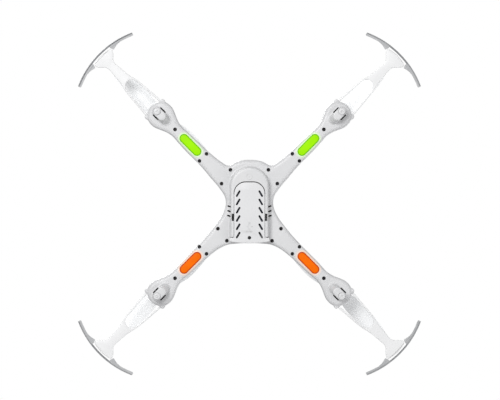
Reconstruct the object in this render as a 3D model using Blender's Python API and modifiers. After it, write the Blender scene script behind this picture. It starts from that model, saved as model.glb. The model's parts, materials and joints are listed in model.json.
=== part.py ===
"""Quadcopter drone as an assembly of separate pieces.

Axes: +Z up, the nose points to -Y, the origin is on the ground under the middle
of the drone.  Left and right are the pilot's, looking towards the nose.
Every arm piece is modelled in its arm's own frame: X runs outwards along the
arm, Y across it, and an empty turns that frame to the arm's direction.
"""
import math

import bmesh
import bpy
from mathutils import Matrix, Vector

MM = 0.001

# --- driving dimensions ---------------------------------------------------
ROTOR_X = 112.0 * MM            # propeller shaft, along the arm from the middle
GEAR_MODULE = 0.375 * MM
MAIN_TEETH = 40
PINION_TEETH = 8
GEAR_CENTRES = GEAR_MODULE * (MAIN_TEETH + PINION_TEETH) / 2
MOTOR_X = ROTOR_X + GEAR_CENTRES

WALL = 1.2 * MM
ARM_FLOOR = 12.0 * MM           # underside of the arms and body
PARTING = 21.0 * MM             # top of the lower shell
SEAM = 0.3 * MM                 # gap between pieces that touch
ARM_ROOF = 29.0 * MM            # top of the arms
CANOPY_TOP = 46.5 * MM
EDGE_ROUND = 3.5 * MM
BELLY_FLOOR = 3.0 * MM          # underside of the belly and its door
BELLY_HALF_WIDTH = 17.0 * MM
BELLY_END = 31.0 * MM
BOX_ROOF = 15.0 * MM            # inside top of the battery box
BOX_HALF_WIDTH = 14.6 * MM
DOOR_HALF_WIDTH = 14.05 * MM
DOOR_FRONT = -20.0 * MM
DOOR_ARCH = 10.5 * MM
DOOR_PLATE = 1.4 * MM
DOOR_TAIL = 36.5 * MM
DOOR_TAIL_HALF_WIDTH = 18.6 * MM
DOOR_SCREW_Y = 31.4 * MM

BOSS_HALF_WIDTH = 4.15 * MM
BOSS_IN = 117.1 * MM            # centres of the motor boss's two round ends
BOSS_OUT = 121.0 * MM
FOOT_RADIUS = 3.0 * MM
FOOT_HEIGHT = 0.6 * MM
MOTOR_RADIUS = 3.4 * MM
SHAFT_RADIUS = 1.0 * MM
SHAFT_FOOT = 14.5 * MM
SHAFT_TOP = 41.0 * MM
GEAR_FLOOR = 23.6 * MM
HUB_FLOOR = 34.4 * MM
HUB_TOP = 41.9 * MM
HUB_RADIUS = 4.2 * MM

LIGHT_X = 77.4 * MM
LIGHT_SPAN = 17.0 * MM          # between the centres of a light cover's round ends
LIGHT_WIDTH = 8.0 * MM
GUARD_FLOOR = 15.5 * MM
GUARD_ROOF = 19.0 * MM
PRONG_Y = 9.2 * MM              # middle of a guard's prong, across the arm
SLIT_Y = 4.85 * MM              # middle of a cooling slit beside the motor boss
BUMPER_INNER = 83.2 * MM        # radii of the bumper arc round the propeller axis
BUMPER_OUTER = 85.5 * MM
BUMPER_HALF_ANGLE = math.radians(24.9)

POST_FOOT = 12.6 * MM           # inside floor, where screw posts stand
POST_RADIUS = 2.5 * MM
BORE_TOP = 22.0 * MM            # cutters for bores end here, above the parting
UPPER_POST_TOP = 28.4 * MM
UPPER_PILOT_TOP = 25.6 * MM
SCREW_HEAD = 1.4 * MM
SCREW_SHANK = 0.85 * MM
ARM_SCREW_X = 97.7 * MM
NOSE_SCREW = (17.65 * MM, -31.6 * MM)
TAIL_SCREW = (20.95 * MM, 34.25 * MM)
BUTTON_Y = 14.0 * MM
BUTTON_RADIUS = 4.0 * MM

ARMS = {"front_left": -45.0, "front_right": -135.0, "rear_left": 45.0, "rear_right": 135.0}

# Half of the body's outline.  Nose, waist and tail points are (x, y); arm points
# are (along the arm, across it) with the waist side positive.  All in mm.
NOSE_POINTS = ((0, -41.0), (5, -40.8), (9.5, -40.0), (13.5, -38.6), (16.2, -37.0), (18.4, -35.7))
FRONT_EDGE = ((38.25, -12.2), (40.6, -10.2), (45.8, -9.0), (52, -8.1), (62, -7.3), (78, -6.9), (88, -6.5))
WAIST_FRONT = ((78, 7.1), (60, 7.1), (50, 7.6), (44, 8.3), (38, 8.6))
WAIST_POINTS = ((29.0, -16), (26.0, -12), (23.5, -8), (22.2, -4), (22.0, 0), (22.7, 4), (24.2, 8),
                (26.3, 12), (29.0, 16))
WAIST_REAR = ((38, 8.4), (44, 7.7), (50, 7.2), (60, 6.8), (78, 6.7))
REAR_EDGE = ((88, -6.6), (78, -7.2), (62, -7.8), (52, -8.9), (46, -10.5), (42, -12.1))
TAIL_POINTS = ((18.0, 37.5), (13, 37.0), (7, 36.6), (0, 36.4))
# Neck and pod, from the arm's end round to the tip; the same on both sides.
POD_POINTS = ((93, 6.15), (98, 6.5), (103, 8.0), (107, 9.8), (111, 11.5), (116.5, 12.6), (121.5, 11.7),
              (125.5, 8.8), (128.0, 4.6), (128.8, 0))

# Half of the guard's outline and of its window, (along, across) from its tip in.
GUARD_POINTS = ((194.8, 0), (194.3, 5), (193.1, 10.2), (190.4, 10.6), (187.2, 8.2), (184.5, 5.4), (181, 4.1),
                (174, 4.5), (166, 5.2), (161, 6.2), (155, 7.6), (145, 8.7), (135, 9.5), (127.4, 10.1))
WINDOW_POINTS = ((160.7, 0), (160.0, 2.6), (158.2, 4.7), (155, 6.1), (145, 6.85), (135, 7.6), (127.4, 8.1))
GUSSET_OUTER = 20.5 * MM        # where the bumper's gussets run out, across the arm
GUSSET_INNER = 11.0 * MM
GUSSET_TIP_X = 191.5 * MM

PARTS = "quadcopter"
CUTTERS = "quadcopter_cutters"


# --- scene helpers ----------------------------------------------------------
def clear_scene():
    for obj in list(bpy.data.objects):
        bpy.data.objects.remove(obj, do_unlink=True)
    for name in (PARTS, CUTTERS):
        old = bpy.data.collections.get(name)
        if old:
            bpy.data.collections.remove(old)
        bpy.context.scene.collection.children.link(bpy.data.collections.new(name))


def make_material(name, color, roughness, metallic=0.0, alpha=1.0):
    material = bpy.data.materials.new(name)
    material.use_nodes = True
    shader = material.node_tree.nodes["Principled BSDF"]
    shader.inputs["Base Color"].default_value = (*color, 1.0)
    shader.inputs["Roughness"].default_value = roughness
    shader.inputs["Metallic"].default_value = metallic
    shader.inputs["Alpha"].default_value = alpha
    material.diffuse_color = (*color, alpha)
    return material


def add_part(name, mesh, material, parent=None, location=(0, 0, 0)):
    obj = bpy.data.objects.new(name, mesh)
    bpy.data.collections[PARTS].objects.link(obj)
    obj.parent = parent
    obj.location = location
    if not mesh.materials:
        mesh.materials.append(material)
    mesh.shade_smooth()
    mesh.set_sharp_from_angle(angle=math.radians(35))
    return obj


def add_cutter(name, meshes):
    """One hidden tool object that holds all the given meshes."""
    shape = bmesh.new()
    for mesh in meshes:
        shape.from_mesh(mesh)
    joined = bpy.data.meshes.new(name)
    shape.to_mesh(joined)
    shape.free()
    tool = bpy.data.objects.new(name, joined)
    bpy.data.collections[CUTTERS].objects.link(tool)
    tool.hide_render = True
    tool.display_type = "WIRE"
    return tool


def add_boolean(part, operation, tool):
    modifier = part.modifiers.new(tool.name, "BOOLEAN")
    modifier.operation = operation
    modifier.solver = "EXACT"
    modifier.object = tool


def add_empty(name, location, turn=0.0, parent=None):
    empty = bpy.data.objects.new(name, None)
    empty.empty_display_size = 10 * MM
    bpy.data.collections[PARTS].objects.link(empty)
    empty.parent = parent
    empty.location = location
    empty.rotation_euler = (0, 0, turn)
    return empty


# --- shape helpers ------------------------------------------------------------
def evaluated_mesh(obj, name):
    """The object's shape as a closed mesh of its own; the object is removed."""
    bpy.context.view_layer.update()
    evaluated = obj.evaluated_get(bpy.context.evaluated_depsgraph_get())
    mesh = bpy.data.meshes.new_from_object(evaluated)
    mesh.transform(obj.matrix_world)
    mesh.name = name
    bpy.data.objects.remove(obj, do_unlink=True)
    shape = bmesh.new()
    shape.from_mesh(mesh)
    bmesh.ops.remove_doubles(shape, verts=shape.verts, dist=0.001 * MM)
    bmesh.ops.recalc_face_normals(shape, faces=shape.faces)
    shape.to_mesh(mesh)
    shape.free()
    mesh.materials.clear()
    return mesh


def smooth(points, steps=3):
    """Points on a smooth curve through the given points."""
    points = [Vector(p) for p in points]
    padded = [2 * points[0] - points[1]] + points + [2 * points[-1] - points[-2]]
    curve = []
    for i in range(1, len(points)):
        before, start, end, after = padded[i - 1:i + 3]
        for k in range(steps):
            t = k / steps
            curve.append(0.5 * (2 * start + (end - before) * t
                                + (2 * before - 5 * start + 4 * end - after) * t * t
                                + (3 * start - 3 * end + after - before) * t ** 3))
    curve.append(points[-1])
    return curve


def slab(name, outlines, floor, roof, edge=0.0, inset=0.0, edge_steps=1):
    """Flat outlines made solid from floor to roof, with rounded edges if wanted."""
    curve = bpy.data.curves.new(name, "CURVE")
    curve.dimensions = "2D"
    curve.fill_mode = "BOTH"
    for outline in outlines:
        spline = curve.splines.new("POLY")
        spline.points.add(len(outline) - 1)
        spline.use_cyclic_u = True
        for point, place in zip(spline.points, outline):
            point.co = (place[0], place[1], 0, 1)
    curve.bevel_depth = edge
    curve.bevel_resolution = edge_steps
    curve.offset = -inset - edge
    curve.extrude = (roof - floor) / 2 - edge
    obj = bpy.data.objects.new(name, curve)
    bpy.data.collections[CUTTERS].objects.link(obj)
    obj.location.z = (floor + roof) / 2
    return evaluated_mesh(obj, name)


def turned(name, profile, steps=16, place=(0, 0, 0)):
    """A profile of (radius, height), outer side from top to bottom, turned about Z."""
    mesh = bpy.data.meshes.new(name)
    verts = [(radius, 0, height) for radius, height in profile]
    edges = [(i, i + 1) for i in range(len(verts) - 1)]
    if profile[0][0] > 0:
        edges.append((len(verts) - 1, 0))
    mesh.from_pydata(verts, edges, [])
    obj = bpy.data.objects.new(name, mesh)
    bpy.data.collections[CUTTERS].objects.link(obj)
    obj.location = place
    screw = obj.modifiers.new("turn", "SCREW")
    screw.steps = steps
    screw.render_steps = steps
    screw.use_merge_vertices = True
    screw.merge_threshold = 0.001 * MM
    return evaluated_mesh(obj, name)


def rod(name, x, y, radius, floor, roof, steps=12):
    bpy.ops.mesh.primitive_cylinder_add(vertices=steps, radius=radius, depth=roof - floor,
                                        location=(x, y, (floor + roof) / 2))
    return evaluated_mesh(bpy.context.active_object, name)


def block(name, low, high, turn=0.0):
    """A box from low to high, turned about its own middle."""
    bpy.ops.mesh.primitive_cube_add(size=1, location=[(a + b) / 2 for a, b in zip(low, high)])
    cube = bpy.context.active_object
    cube.scale = [b - a for a, b in zip(low, high)]
    cube.rotation_euler.z = turn
    return evaluated_mesh(cube, name)


def stadium(name, x_in, x_out, half_width, floor, roof, edge=0.0, steps=6):
    """A slab with two round ends, centred at x_in and x_out on the X axis."""
    outline = []
    for centre, start in ((x_out, -90), (x_in, 90)):
        for k in range(steps + 1):
            angle = math.radians(start + 180 * k / steps)
            outline.append((centre + half_width * math.cos(angle), half_width * math.sin(angle)))
    return slab(name, [outline], floor, roof, edge=edge)


def one_body(name, base, unions=(), cuts=()):
    """base with the union meshes added and the cut meshes taken away, as one mesh."""
    obj = bpy.data.objects.new(name, base)
    bpy.data.collections[CUTTERS].objects.link(obj)
    tools = []
    for operation, meshes in (("UNION", unions), ("DIFFERENCE", cuts)):
        for mesh in meshes:
            tool = bpy.data.objects.new(name + "_tool", mesh)
            bpy.data.collections[CUTTERS].objects.link(tool)
            add_boolean(obj, operation, tool)
            tools.append(tool)
    result = evaluated_mesh(obj, name)
    for tool in tools:
        bpy.data.objects.remove(tool, do_unlink=True)
    return result


def on_every_arm(meshes):
    """Copies of arm-frame meshes, turned to all four arms."""
    copies = []
    for degrees in ARMS.values():
        turn = Matrix.Rotation(math.radians(degrees), 4, "Z")
        for mesh in meshes:
            copy = mesh.copy()
            copy.transform(turn)
            copies.append(copy)
    return copies


def on_both_sides(meshes):
    """The meshes and their mirror images in the plane x = 0."""
    copies = list(meshes)
    for mesh in meshes:
        copy = mesh.copy()
        copy.transform(Matrix.Scale(-1, 4, (1, 0, 0)))
        copy.flip_normals()
        copies.append(copy)
    return copies


# --- outlines -------------------------------------------------------------------
def body_outline():
    """The whole outline of body, arms and pods, anticlockwise from the nose."""
    def from_arm(points, side):
        half = math.sqrt(0.5)
        return [((x + y) * half, (x - y) * half * side) for x, y in points]

    lead = FRONT_EDGE + mirrored_pod(-1) + POD_POINTS[::-1][1:] + WAIST_FRONT
    trail = WAIST_REAR + POD_POINTS + mirrored_pod(1)[1:] + REAR_EDGE
    run = from_arm(lead, -1) + list(WAIST_POINTS) + from_arm(trail, 1) + list(TAIL_POINTS)
    half = smooth(NOSE_POINTS, 2)[:-1] + [Vector(point) for point in run]
    other = [Vector((-p.x, p.y)) for p in reversed(half[1:-1])]
    return [p * MM for p in half + other]


def mirrored_pod(order):
    """The pod's points on the side away from the waist, out or back in."""
    points = tuple((x, -y) for x, y in POD_POINTS)
    return points if order < 0 else points[::-1]


def arch_outline(half_width, corner, front, back, steps=6):
    """A door-like outline: straight sides, square back, round front corners."""
    outline = [(half_width, back)]
    for side in (1, -1):
        for k in range(steps + 1):
            angle = math.radians(90 * k / steps if side > 0 else 90 - 90 * k / steps)
            x = (half_width - corner + corner * math.cos(angle)) * side
            outline.append((x, front + corner - corner * math.sin(angle)))
    outline.append((-half_width, back))
    return outline


# --- shells -----------------------------------------------------------------------
def screw_post_cuts(name, x, y):
    """The counterbore and clearance hole of one body screw, as one stepped cutter."""
    hole = SCREW_SHANK + 0.1 * MM
    recess = SCREW_HEAD + 0.15 * MM
    profile = ((0, BORE_TOP), (hole, BORE_TOP), (hole, 16.5 * MM), (recess, 16.5 * MM), (recess, 11 * MM),
               (0, 11 * MM))
    return turned(name, profile, 10, (x, y, 0))


def belly_block():
    outline = arch_outline(BELLY_HALF_WIDTH, BELLY_HALF_WIDTH - 0.5 * MM, -33.0 * MM, BELLY_END, 8)
    return slab("belly", [outline], BELLY_FLOOR, 19 * MM, edge=2.0 * MM)


def lower_shell(material):
    outline = body_outline()
    shell = add_part("lower_shell", slab("lower_shell", [outline], ARM_FLOOR, ARM_ROOF, EDGE_ROUND),
                     material)
    cavity = slab("cavity", [outline[::2]], ARM_FLOOR + WALL, ARM_ROOF, EDGE_ROUND - WALL, WALL, 0)
    above = block("above", (-0.2, -0.2, PARTING), (0.2, 0.2, 0.1))
    body_screws = (NOSE_SCREW, TAIL_SCREW)
    post_top = PARTING - 0.1 * MM
    posts = on_both_sides([rod("post", x, y, POST_RADIUS, POST_FOOT, post_top) for x, y in body_screws])
    boss = stadium("boss", BOSS_IN, BOSS_OUT, BOSS_HALF_WIDTH, FOOT_HEIGHT, 14 * MM, 1.0 * MM)
    foot = rod("foot", MOTOR_X, 0, FOOT_RADIUS, 0, 1.3 * MM, 16)
    shaft_post = rod("shaft_post", ROTOR_X, 0, 2.4 * MM, POST_FOOT, 20 * MM)
    bosses = [one_body("boss", boss, [foot, shaft_post]),
              rod("arm_post", ARM_SCREW_X, 0, POST_RADIUS, POST_FOOT, post_top)]
    ears = [block("ear", (119 * MM, side * 9.35 * MM - 1.9 * MM, GUARD_FLOOR - 1.2 * MM),
                  (127 * MM, side * 9.35 * MM + 1.9 * MM, GUARD_ROOF + 1.2 * MM)) for side in (1, -1)]
    steps = (("DIFFERENCE", "lower_trim", [above]), ("DIFFERENCE", "lower_cavity", [cavity]),
             ("UNION", "lower_belly", [belly_block()]), ("UNION", "lower_posts", posts),
             ("UNION", "lower_arm_posts", on_every_arm(bosses)), ("UNION", "lower_ears", on_every_arm(ears)))
    for operation, name, meshes in steps:
        add_boolean(shell, operation, add_cutter(name, meshes))
    for number, mesh in enumerate(battery_box_cuts()):
        add_boolean(shell, "DIFFERENCE", add_cutter(f"lower_cut_{number}", [mesh]))
    details = belly_side_cuts() + on_both_sides([screw_post_cuts("screw_cut", x, y) for x, y in body_screws])
    add_boolean(shell, "DIFFERENCE", add_cutter("lower_details", details + on_every_arm(pod_cuts())))
    return shell


def battery_box_cuts():
    """The battery box with its open rear, the door's rails and seat, and the rooms in front and behind."""
    box_floor = 5.8 * MM
    gap = arch_outline(DOOR_HALF_WIDTH + SEAM, DOOR_ARCH + SEAM, DOOR_FRONT - SEAM, 45 * MM)
    nose = arch_outline(12.5 * MM, 9 * MM, -31.2 * MM, -21.7 * MM)
    return [
        block("battery_box", (-BOX_HALF_WIDTH, DOOR_FRONT - SEAM, box_floor),
              (BOX_HALF_WIDTH, 28.2 * MM, BOX_ROOF)),
        block("box_mouth", (-BOX_HALF_WIDTH, 28.1 * MM, box_floor), (BOX_HALF_WIDTH, 45 * MM, 11.9 * MM)),
        block("rails", (-15.5 * MM, -9.5 * MM, 4.1 * MM), (15.5 * MM, 45 * MM, 5.9 * MM)),
        slab("door_gap", [gap], 1 * MM, 5.9 * MM),
        slab("nose_hollow", [nose], 4.6 * MM, 25 * MM),
        block("screw_slot", (-1.1 * MM, DOOR_SCREW_Y - 1.1 * MM, 11.4 * MM), (1.1 * MM, 50 * MM, 16.4 * MM)),
        block("lead_hole", (-2 * MM, -19.8 * MM, 14 * MM), (2 * MM, -16.9 * MM, 18 * MM)),
        block("belly_top", (-20 * MM, -34 * MM, 16.2 * MM), (20 * MM, 31.4 * MM, 19.5 * MM)),
    ]


def belly_side_cuts():
    """A finger notch beside the door and three slanted vents, on each side."""
    cuts = [block("notch", (14.2 * MM, 9.1 * MM, 2 * MM), (16.4 * MM, 15.8 * MM, 5.0 * MM))]
    for k in range(3):
        y = (2.4 + 4.45 * k) * MM
        cuts.append(block("side_vent", (17.9 * MM, y - 0.4 * MM, 10 * MM), (20.4 * MM, y + 0.4 * MM, 14.5 * MM),
                          math.radians(-18)))
    return on_both_sides(cuts)


def pod_cuts():
    """Bores, slits and sockets of one arm, in the arm's frame."""
    cuts = [rod("motor_bore", MOTOR_X, 0, MOTOR_RADIUS + 0.15 * MM, 1.6 * MM, BORE_TOP, 14),
            rod("shaft_bore", ROTOR_X, 0, SHAFT_RADIUS + 0.15 * MM, 14.2 * MM, BORE_TOP),
            light_hole(),
            screw_post_cuts("arm_screw_cut", ARM_SCREW_X, 0)]
    for side in (1, -1):
        cuts.append(block("slit", (114.5 * MM, side * SLIT_Y - 0.4 * MM, 10 * MM),
                          (121.5 * MM, side * SLIT_Y + 0.4 * MM, 15 * MM)))
        cuts.append(prong_space(side))
    return cuts


def light_hole():
    """The slot for a light cover, wider inside where the cover's flange sits."""
    inner, outer = LIGHT_X - LIGHT_SPAN / 2, LIGHT_X + LIGHT_SPAN / 2
    slot = stadium("light_hole", inner, outer, LIGHT_WIDTH / 2 + 0.2 * MM, 11 * MM, 14 * MM)
    seat = stadium("light_seat", inner - 0.5 * MM, outer + 0.5 * MM, 4.9 * MM, 13.3 * MM, 15.4 * MM)
    return one_body("light_hole", slot, [seat])


def prong_space(side):
    """The socket that one prong of a guard plugs into."""
    return block("socket", (121.5 * MM, side * PRONG_Y - 1.25 * MM, GUARD_FLOOR - 0.2 * MM),
                 (135 * MM, side * PRONG_Y + 1.25 * MM, GUARD_ROOF + 0.2 * MM))


def canopy(name, grow):
    """The dome over the body, as a scaled sphere; grow is negative for its inside."""
    middle = 25.5 * MM
    bpy.ops.mesh.primitive_uv_sphere_add(segments=28, ring_count=16, radius=1, location=(0, -1.5 * MM, middle))
    dome = bpy.context.active_object
    dome.scale = (20.5 * MM + grow, 37.5 * MM + grow, CANOPY_TOP - middle + grow)
    skirt = block("skirt", (-0.1, -0.1, -0.01), (0.1, 0.1, 24 * MM + grow))
    return one_body(name, evaluated_mesh(dome, name), (), [skirt])


def upper_shell(material):
    outline = body_outline()
    shell = add_part("upper_shell", slab("upper_shell", [outline], ARM_FLOOR, ARM_ROOF, EDGE_ROUND),
                     material)
    cavity = slab("upper_cavity", [outline[::2]], ARM_FLOOR, ARM_ROOF - WALL, EDGE_ROUND - WALL, WALL, 0)
    below = block("below", (-0.2, -0.2, -0.01), (0.2, 0.2, PARTING + SEAM))
    post_floor = PARTING + SEAM + 0.1 * MM
    posts = on_both_sides([rod("post", x, y, 2.3 * MM, post_floor, UPPER_POST_TOP)
                           for x, y in (NOSE_SCREW, TAIL_SCREW)])
    posts += on_every_arm([rod("arm_post", ARM_SCREW_X, 0, 2.3 * MM, post_floor, UPPER_POST_TOP)])
    collar = turned("collar", ((0, 33 * MM), (3.0 * MM, 33 * MM), (3.4 * MM, 32.6 * MM), (5.6 * MM, 29.6 * MM),
                               (5.6 * MM, 28.2 * MM), (0, 28.2 * MM)), 20, (ROTOR_X, 0, 0))
    bearing_cut = turned("bearing_cut", ((0, 36 * MM), (2.15 * MM, 36 * MM), (2.15 * MM, 29.2 * MM),
                                         (1.3 * MM, 29.2 * MM), (1.3 * MM, 26 * MM), (0, 26 * MM)), 12,
                         (ROTOR_X, 0, 0))
    pilot = SCREW_SHANK + 0.1 * MM
    holes = on_both_sides([rod("pilot", x, y, pilot, 20 * MM, UPPER_PILOT_TOP)
                           for x, y in (NOSE_SCREW, TAIL_SCREW)])
    holes += on_every_arm([rod("arm_pilot", ARM_SCREW_X, 0, pilot, 20 * MM, UPPER_PILOT_TOP), bearing_cut])
    holes.append(rod("button_hole", 0, BUTTON_Y, BUTTON_RADIUS + 0.25 * MM, 36 * MM, 55 * MM, 20))
    steps = (("UNION", "upper_canopy", [canopy("canopy", 0)]),
             ("UNION", "upper_collars", on_every_arm([collar])),
             ("DIFFERENCE", "upper_cavity", [cavity]),
             ("DIFFERENCE", "upper_dome_inside", [canopy("in", -1.4 * MM)]),
             ("UNION", "upper_posts", posts), ("DIFFERENCE", "upper_trim", [below]),
             ("DIFFERENCE", "upper_holes", holes))
    for operation, name, meshes in steps:
        add_boolean(shell, operation, add_cutter(name, meshes))
    return shell


# --- belly pieces -----------------------------------------------------------------
def battery_door(material, parent):
    plate = slab("battery_door", [arch_outline(DOOR_HALF_WIDTH, DOOR_ARCH, DOOR_FRONT, 35.5 * MM)],
                 BELLY_FLOOR, BELLY_FLOOR + DOOR_PLATE)
    tongues = block("tongues", (-15.2 * MM, -9.0 * MM, BELLY_FLOOR + DOOR_PLATE - 0.1 * MM),
                    (15.2 * MM, 31.0 * MM, BELLY_FLOOR + DOOR_PLATE + 1.1 * MM))
    tail = slab("tail", [tail_outline()], BELLY_FLOOR, 11.7 * MM)
    pocket = block("pocket", (-17 * MM, 20 * MM, 5.6 * MM), (17 * MM, 34.6 * MM, 13 * MM))
    boss = rod("boss", 0, DOOR_SCREW_Y, 2.9 * MM, 4 * MM, 8.2 * MM, 16)
    bore = turned("bore", ((0, 9 * MM), (1.1 * MM, 9 * MM), (1.1 * MM, 6.6 * MM), (1.6 * MM, 6.6 * MM),
                           (1.6 * MM, 2 * MM), (0, 2 * MM)), 12, (0, DOOR_SCREW_Y, 0))
    vents = []
    for k in range(6):
        y = (-9.5 + 7.68 * k) * MM
        vents.append(block("vent", (9.9 * MM, y - 2.9 * MM, 2 * MM), (11.0 * MM, y + 2.9 * MM, 7 * MM),
                           math.radians(-30)))
    mesh = one_body("battery_door", plate, [tongues, tail])
    mesh = one_body("battery_door", mesh, (), [pocket])
    mesh = one_body("battery_door", mesh, [boss], [bore] + on_both_sides(vents))
    return add_part("battery_door", mesh, material, parent)


def tail_outline(steps=6):
    """The door's wide tail end, with a gently curved rear edge."""
    front = BELLY_END + SEAM
    half = DOOR_TAIL_HALF_WIDTH
    rear = [(half * (1 - 2 * k / steps), DOOR_TAIL - 1.6 * MM * (1 - 2 * k / steps) ** 2)
            for k in range(steps + 1)]
    return [(half, front)] + rear + [(-half, front)]


def screw_mesh(name, head_floor, tip):
    """A flat-headed screw that points up, its head below."""
    head = head_floor + 1.4 * MM
    profile = ((0, tip), (0.45 * MM, tip), (SCREW_SHANK, tip - 0.8 * MM), (SCREW_SHANK, head),
               (SCREW_HEAD, head), (SCREW_HEAD, head_floor), (0, head_floor))
    return turned(name, profile, 10)


def battery_pack(material):
    bpy.ops.mesh.primitive_cube_add(size=1, location=(0, 5 * MM, 10.2 * MM))
    cell = bpy.context.active_object
    cell.scale = (25 * MM, 43 * MM, 8.4 * MM)
    bpy.ops.object.transform_apply(location=False, rotation=False, scale=True)
    bevel = cell.modifiers.new("round", "BEVEL")
    bevel.width = 1.6 * MM
    bevel.segments = 2
    return add_part("battery_pack", evaluated_mesh(cell, "battery_pack"), material)


def battery_lead(material):
    route = smooth([(0, -16.8, 9.0), (0, -17.8, 9.3), (0.1, -18.5, 10.6), (0.2, -18.6, 12.6),
                    (0.1, -18.4, 15.0),
                    (0, -18.3, 17.6)], 3)
    curve = bpy.data.curves.new("battery_lead", "CURVE")
    curve.dimensions = "3D"
    spline = curve.splines.new("POLY")
    spline.points.add(len(route) - 1)
    for point, place in zip(spline.points, route):
        point.co = (*(place * MM), 1)
    curve.bevel_depth = 0.6 * MM
    curve.bevel_resolution = 1
    curve.use_fill_caps = True
    obj = bpy.data.objects.new("battery_lead", curve)
    bpy.data.collections[CUTTERS].objects.link(obj)
    return add_part("battery_lead", evaluated_mesh(obj, "battery_lead"), material)


def control_board(material):
    board = block("control_board", (-14 * MM, -26 * MM, 18.0 * MM), (14 * MM, 22 * MM, 19.4 * MM))
    chips = [block("processor", (-5 * MM, -8 * MM, 19 * MM), (3 * MM, 0, 20.6 * MM)),
             block("radio", (6 * MM, 6 * MM, 19 * MM), (11 * MM, 14 * MM, 20.4 * MM)),
             block("sensor", (-10 * MM, 8 * MM, 19 * MM), (-6 * MM, 12 * MM, 20.2 * MM)),
             rod("switch", 0, BUTTON_Y, 2.0 * MM, 19 * MM, 24 * MM, 12)]
    return add_part("control_board", one_body("control_board", board, chips), material)


def power_button(material, parent):
    """A mushroom cap through the canopy, with a plunger that reaches the board's switch."""
    profile = ((0, 2.6), (3.0, 2.4), (4.0, 1.4), (4.0, -2.5), (5.0, -2.5), (5.0, -3.5), (1.4, -3.5),
               (1.4, -18.5), (0, -18.5))
    mesh = turned("power_button", [(r * MM, z * MM) for r, z in profile], 16)
    return add_part("power_button", mesh, material, parent)


# --- arm pieces ---------------------------------------------------------------------
def light_cover_mesh():
    inner, outer = LIGHT_X - LIGHT_SPAN / 2, LIGHT_X + LIGHT_SPAN / 2
    lens = stadium("light_cover", inner, outer, LIGHT_WIDTH / 2, 12.1 * MM, 14.0 * MM, 0.4 * MM)
    flange = stadium("flange", inner - 0.5 * MM, outer + 0.5 * MM, 4.6 * MM, 13.5 * MM, 14.4 * MM)
    return one_body("light_cover", lens, [flange])


def light_board_mesh():
    board = block("light_board", (68 * MM, -3 * MM, 16 * MM), (87 * MM, 3 * MM, 17 * MM))
    lamp = block("lamp", (LIGHT_X - 1.8 * MM, -1.8 * MM, 14.9 * MM), (LIGHT_X + 1.8 * MM, 1.8 * MM, 16.5 * MM))
    return one_body("light_board", board, [lamp])


def motor_mesh():
    """A coreless can with its end cap; the shaft's bore is open at the top."""
    profile = ((0, 17.6), (0.65, 17.6), (0.65, 19.0), (2.0, 19.0), (2.0, 18.4), (3.4, 18.2), (3.4, 1.9),
               (0, 1.9))
    return turned("motor", [(r * MM, z * MM) for r, z in profile], 14, (MOTOR_X, 0, 0))


def guard_mesh():
    return slab("guard", [guard_outline()], GUARD_FLOOR, GUARD_ROOF)


def guard_outline():
    """Down one side, round the window and back up the other side, as one loop."""
    outer = [p * MM for p in smooth(GUARD_POINTS, 2)]
    inner = [p * MM for p in smooth(WINDOW_POINTS, 2)]
    inner_tip = [Vector((122.5 * MM, 8.45 * MM)), Vector((122.5 * MM, 10.15 * MM))]
    side = outer + inner_tip[::-1] + inner[::-1]
    return side + [Vector((p.x, -p.y)) for p in reversed(side[1:-1])]


def bumper_mesh(steps=18):
    """An arc round the propeller's axis, with a gusset each side of the guard's head."""
    def arc(radius, half_angle, count):
        return [(ROTOR_X + radius * math.cos(a), radius * math.sin(a))
                for a in (half_angle * (1 - 2 * k / count) for k in range(count + 1))]
    ends = BUMPER_HALF_ANGLE
    outer = arc(BUMPER_OUTER, ends, steps)
    inner = list(reversed(arc(BUMPER_INNER, ends, steps)))
    band = slab("bumper", [outer + inner], 13.6 * MM, 21 * MM)
    gussets = []
    for side in (1, -1):
        rim = math.asin(GUSSET_INNER / BUMPER_INNER)
        end = math.asin(GUSSET_OUTER / BUMPER_INNER)
        radius = BUMPER_INNER + 0.6 * MM
        shape = [(ROTOR_X + radius * math.cos(a), radius * math.sin(a) * side)
                 for a in (rim + (end - rim) * k / 4 for k in range(5))]
        shape += [(GUSSET_TIP_X + 0.2 * MM, 14.6 * MM * side), (GUSSET_TIP_X - 0.4 * MM, 12.8 * MM * side),
                  (GUSSET_TIP_X, 11.2 * MM * side)]
        gussets.append(slab("gusset", [shape], 15.2 * MM, 19.3 * MM))
    return one_body("bumper", band, gussets)


# --- drive pieces --------------------------------------------------------------------
def gear_outline(teeth, root, tip, root_width, tip_width, turn=0.0):
    """Straight-sided teeth with room between them; turn is the first tooth's angle."""
    outline = []
    for k in range(teeth):
        middle = turn + 2 * math.pi * k / teeth
        for radius, across in ((root, -root_width), (tip, -tip_width), (tip, tip_width), (root, root_width)):
            angle = middle + math.asin(across / 2 / radius)
            outline.append((radius * math.cos(angle), radius * math.sin(angle)))
    return outline


def main_gear_mesh():
    outline = gear_outline(MAIN_TEETH, 7.08 * MM, 7.77 * MM, 0.52 * MM, 0.24 * MM, math.pi / MAIN_TEETH)
    rim = slab("main_gear", [outline], GEAR_FLOOR, GEAR_FLOOR + 2 * MM)
    hub = rod("hub", 0, 0, 2.4 * MM, 20.3 * MM, 27 * MM, 10)
    bore = rod("bore", 0, 0, SHAFT_RADIUS + 0.1 * MM, 15 * MM, 40 * MM, 10)
    return one_body("main_gear", rim, [hub], [bore])


def pinion_mesh():
    """A pinion with the length of motor shaft that it is pressed on."""
    outline = gear_outline(PINION_TEETH, 1.14 * MM, 1.77 * MM, 0.52 * MM, 0.26 * MM)
    teeth = slab("pinion", [outline], GEAR_FLOOR - 0.6 * MM, GEAR_FLOOR + 2.6 * MM)
    shaft = rod("shaft", 0, 0, 0.5 * MM, 17.8 * MM, 26.9 * MM, 10)
    return one_body("pinion", teeth, [shaft])


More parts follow.
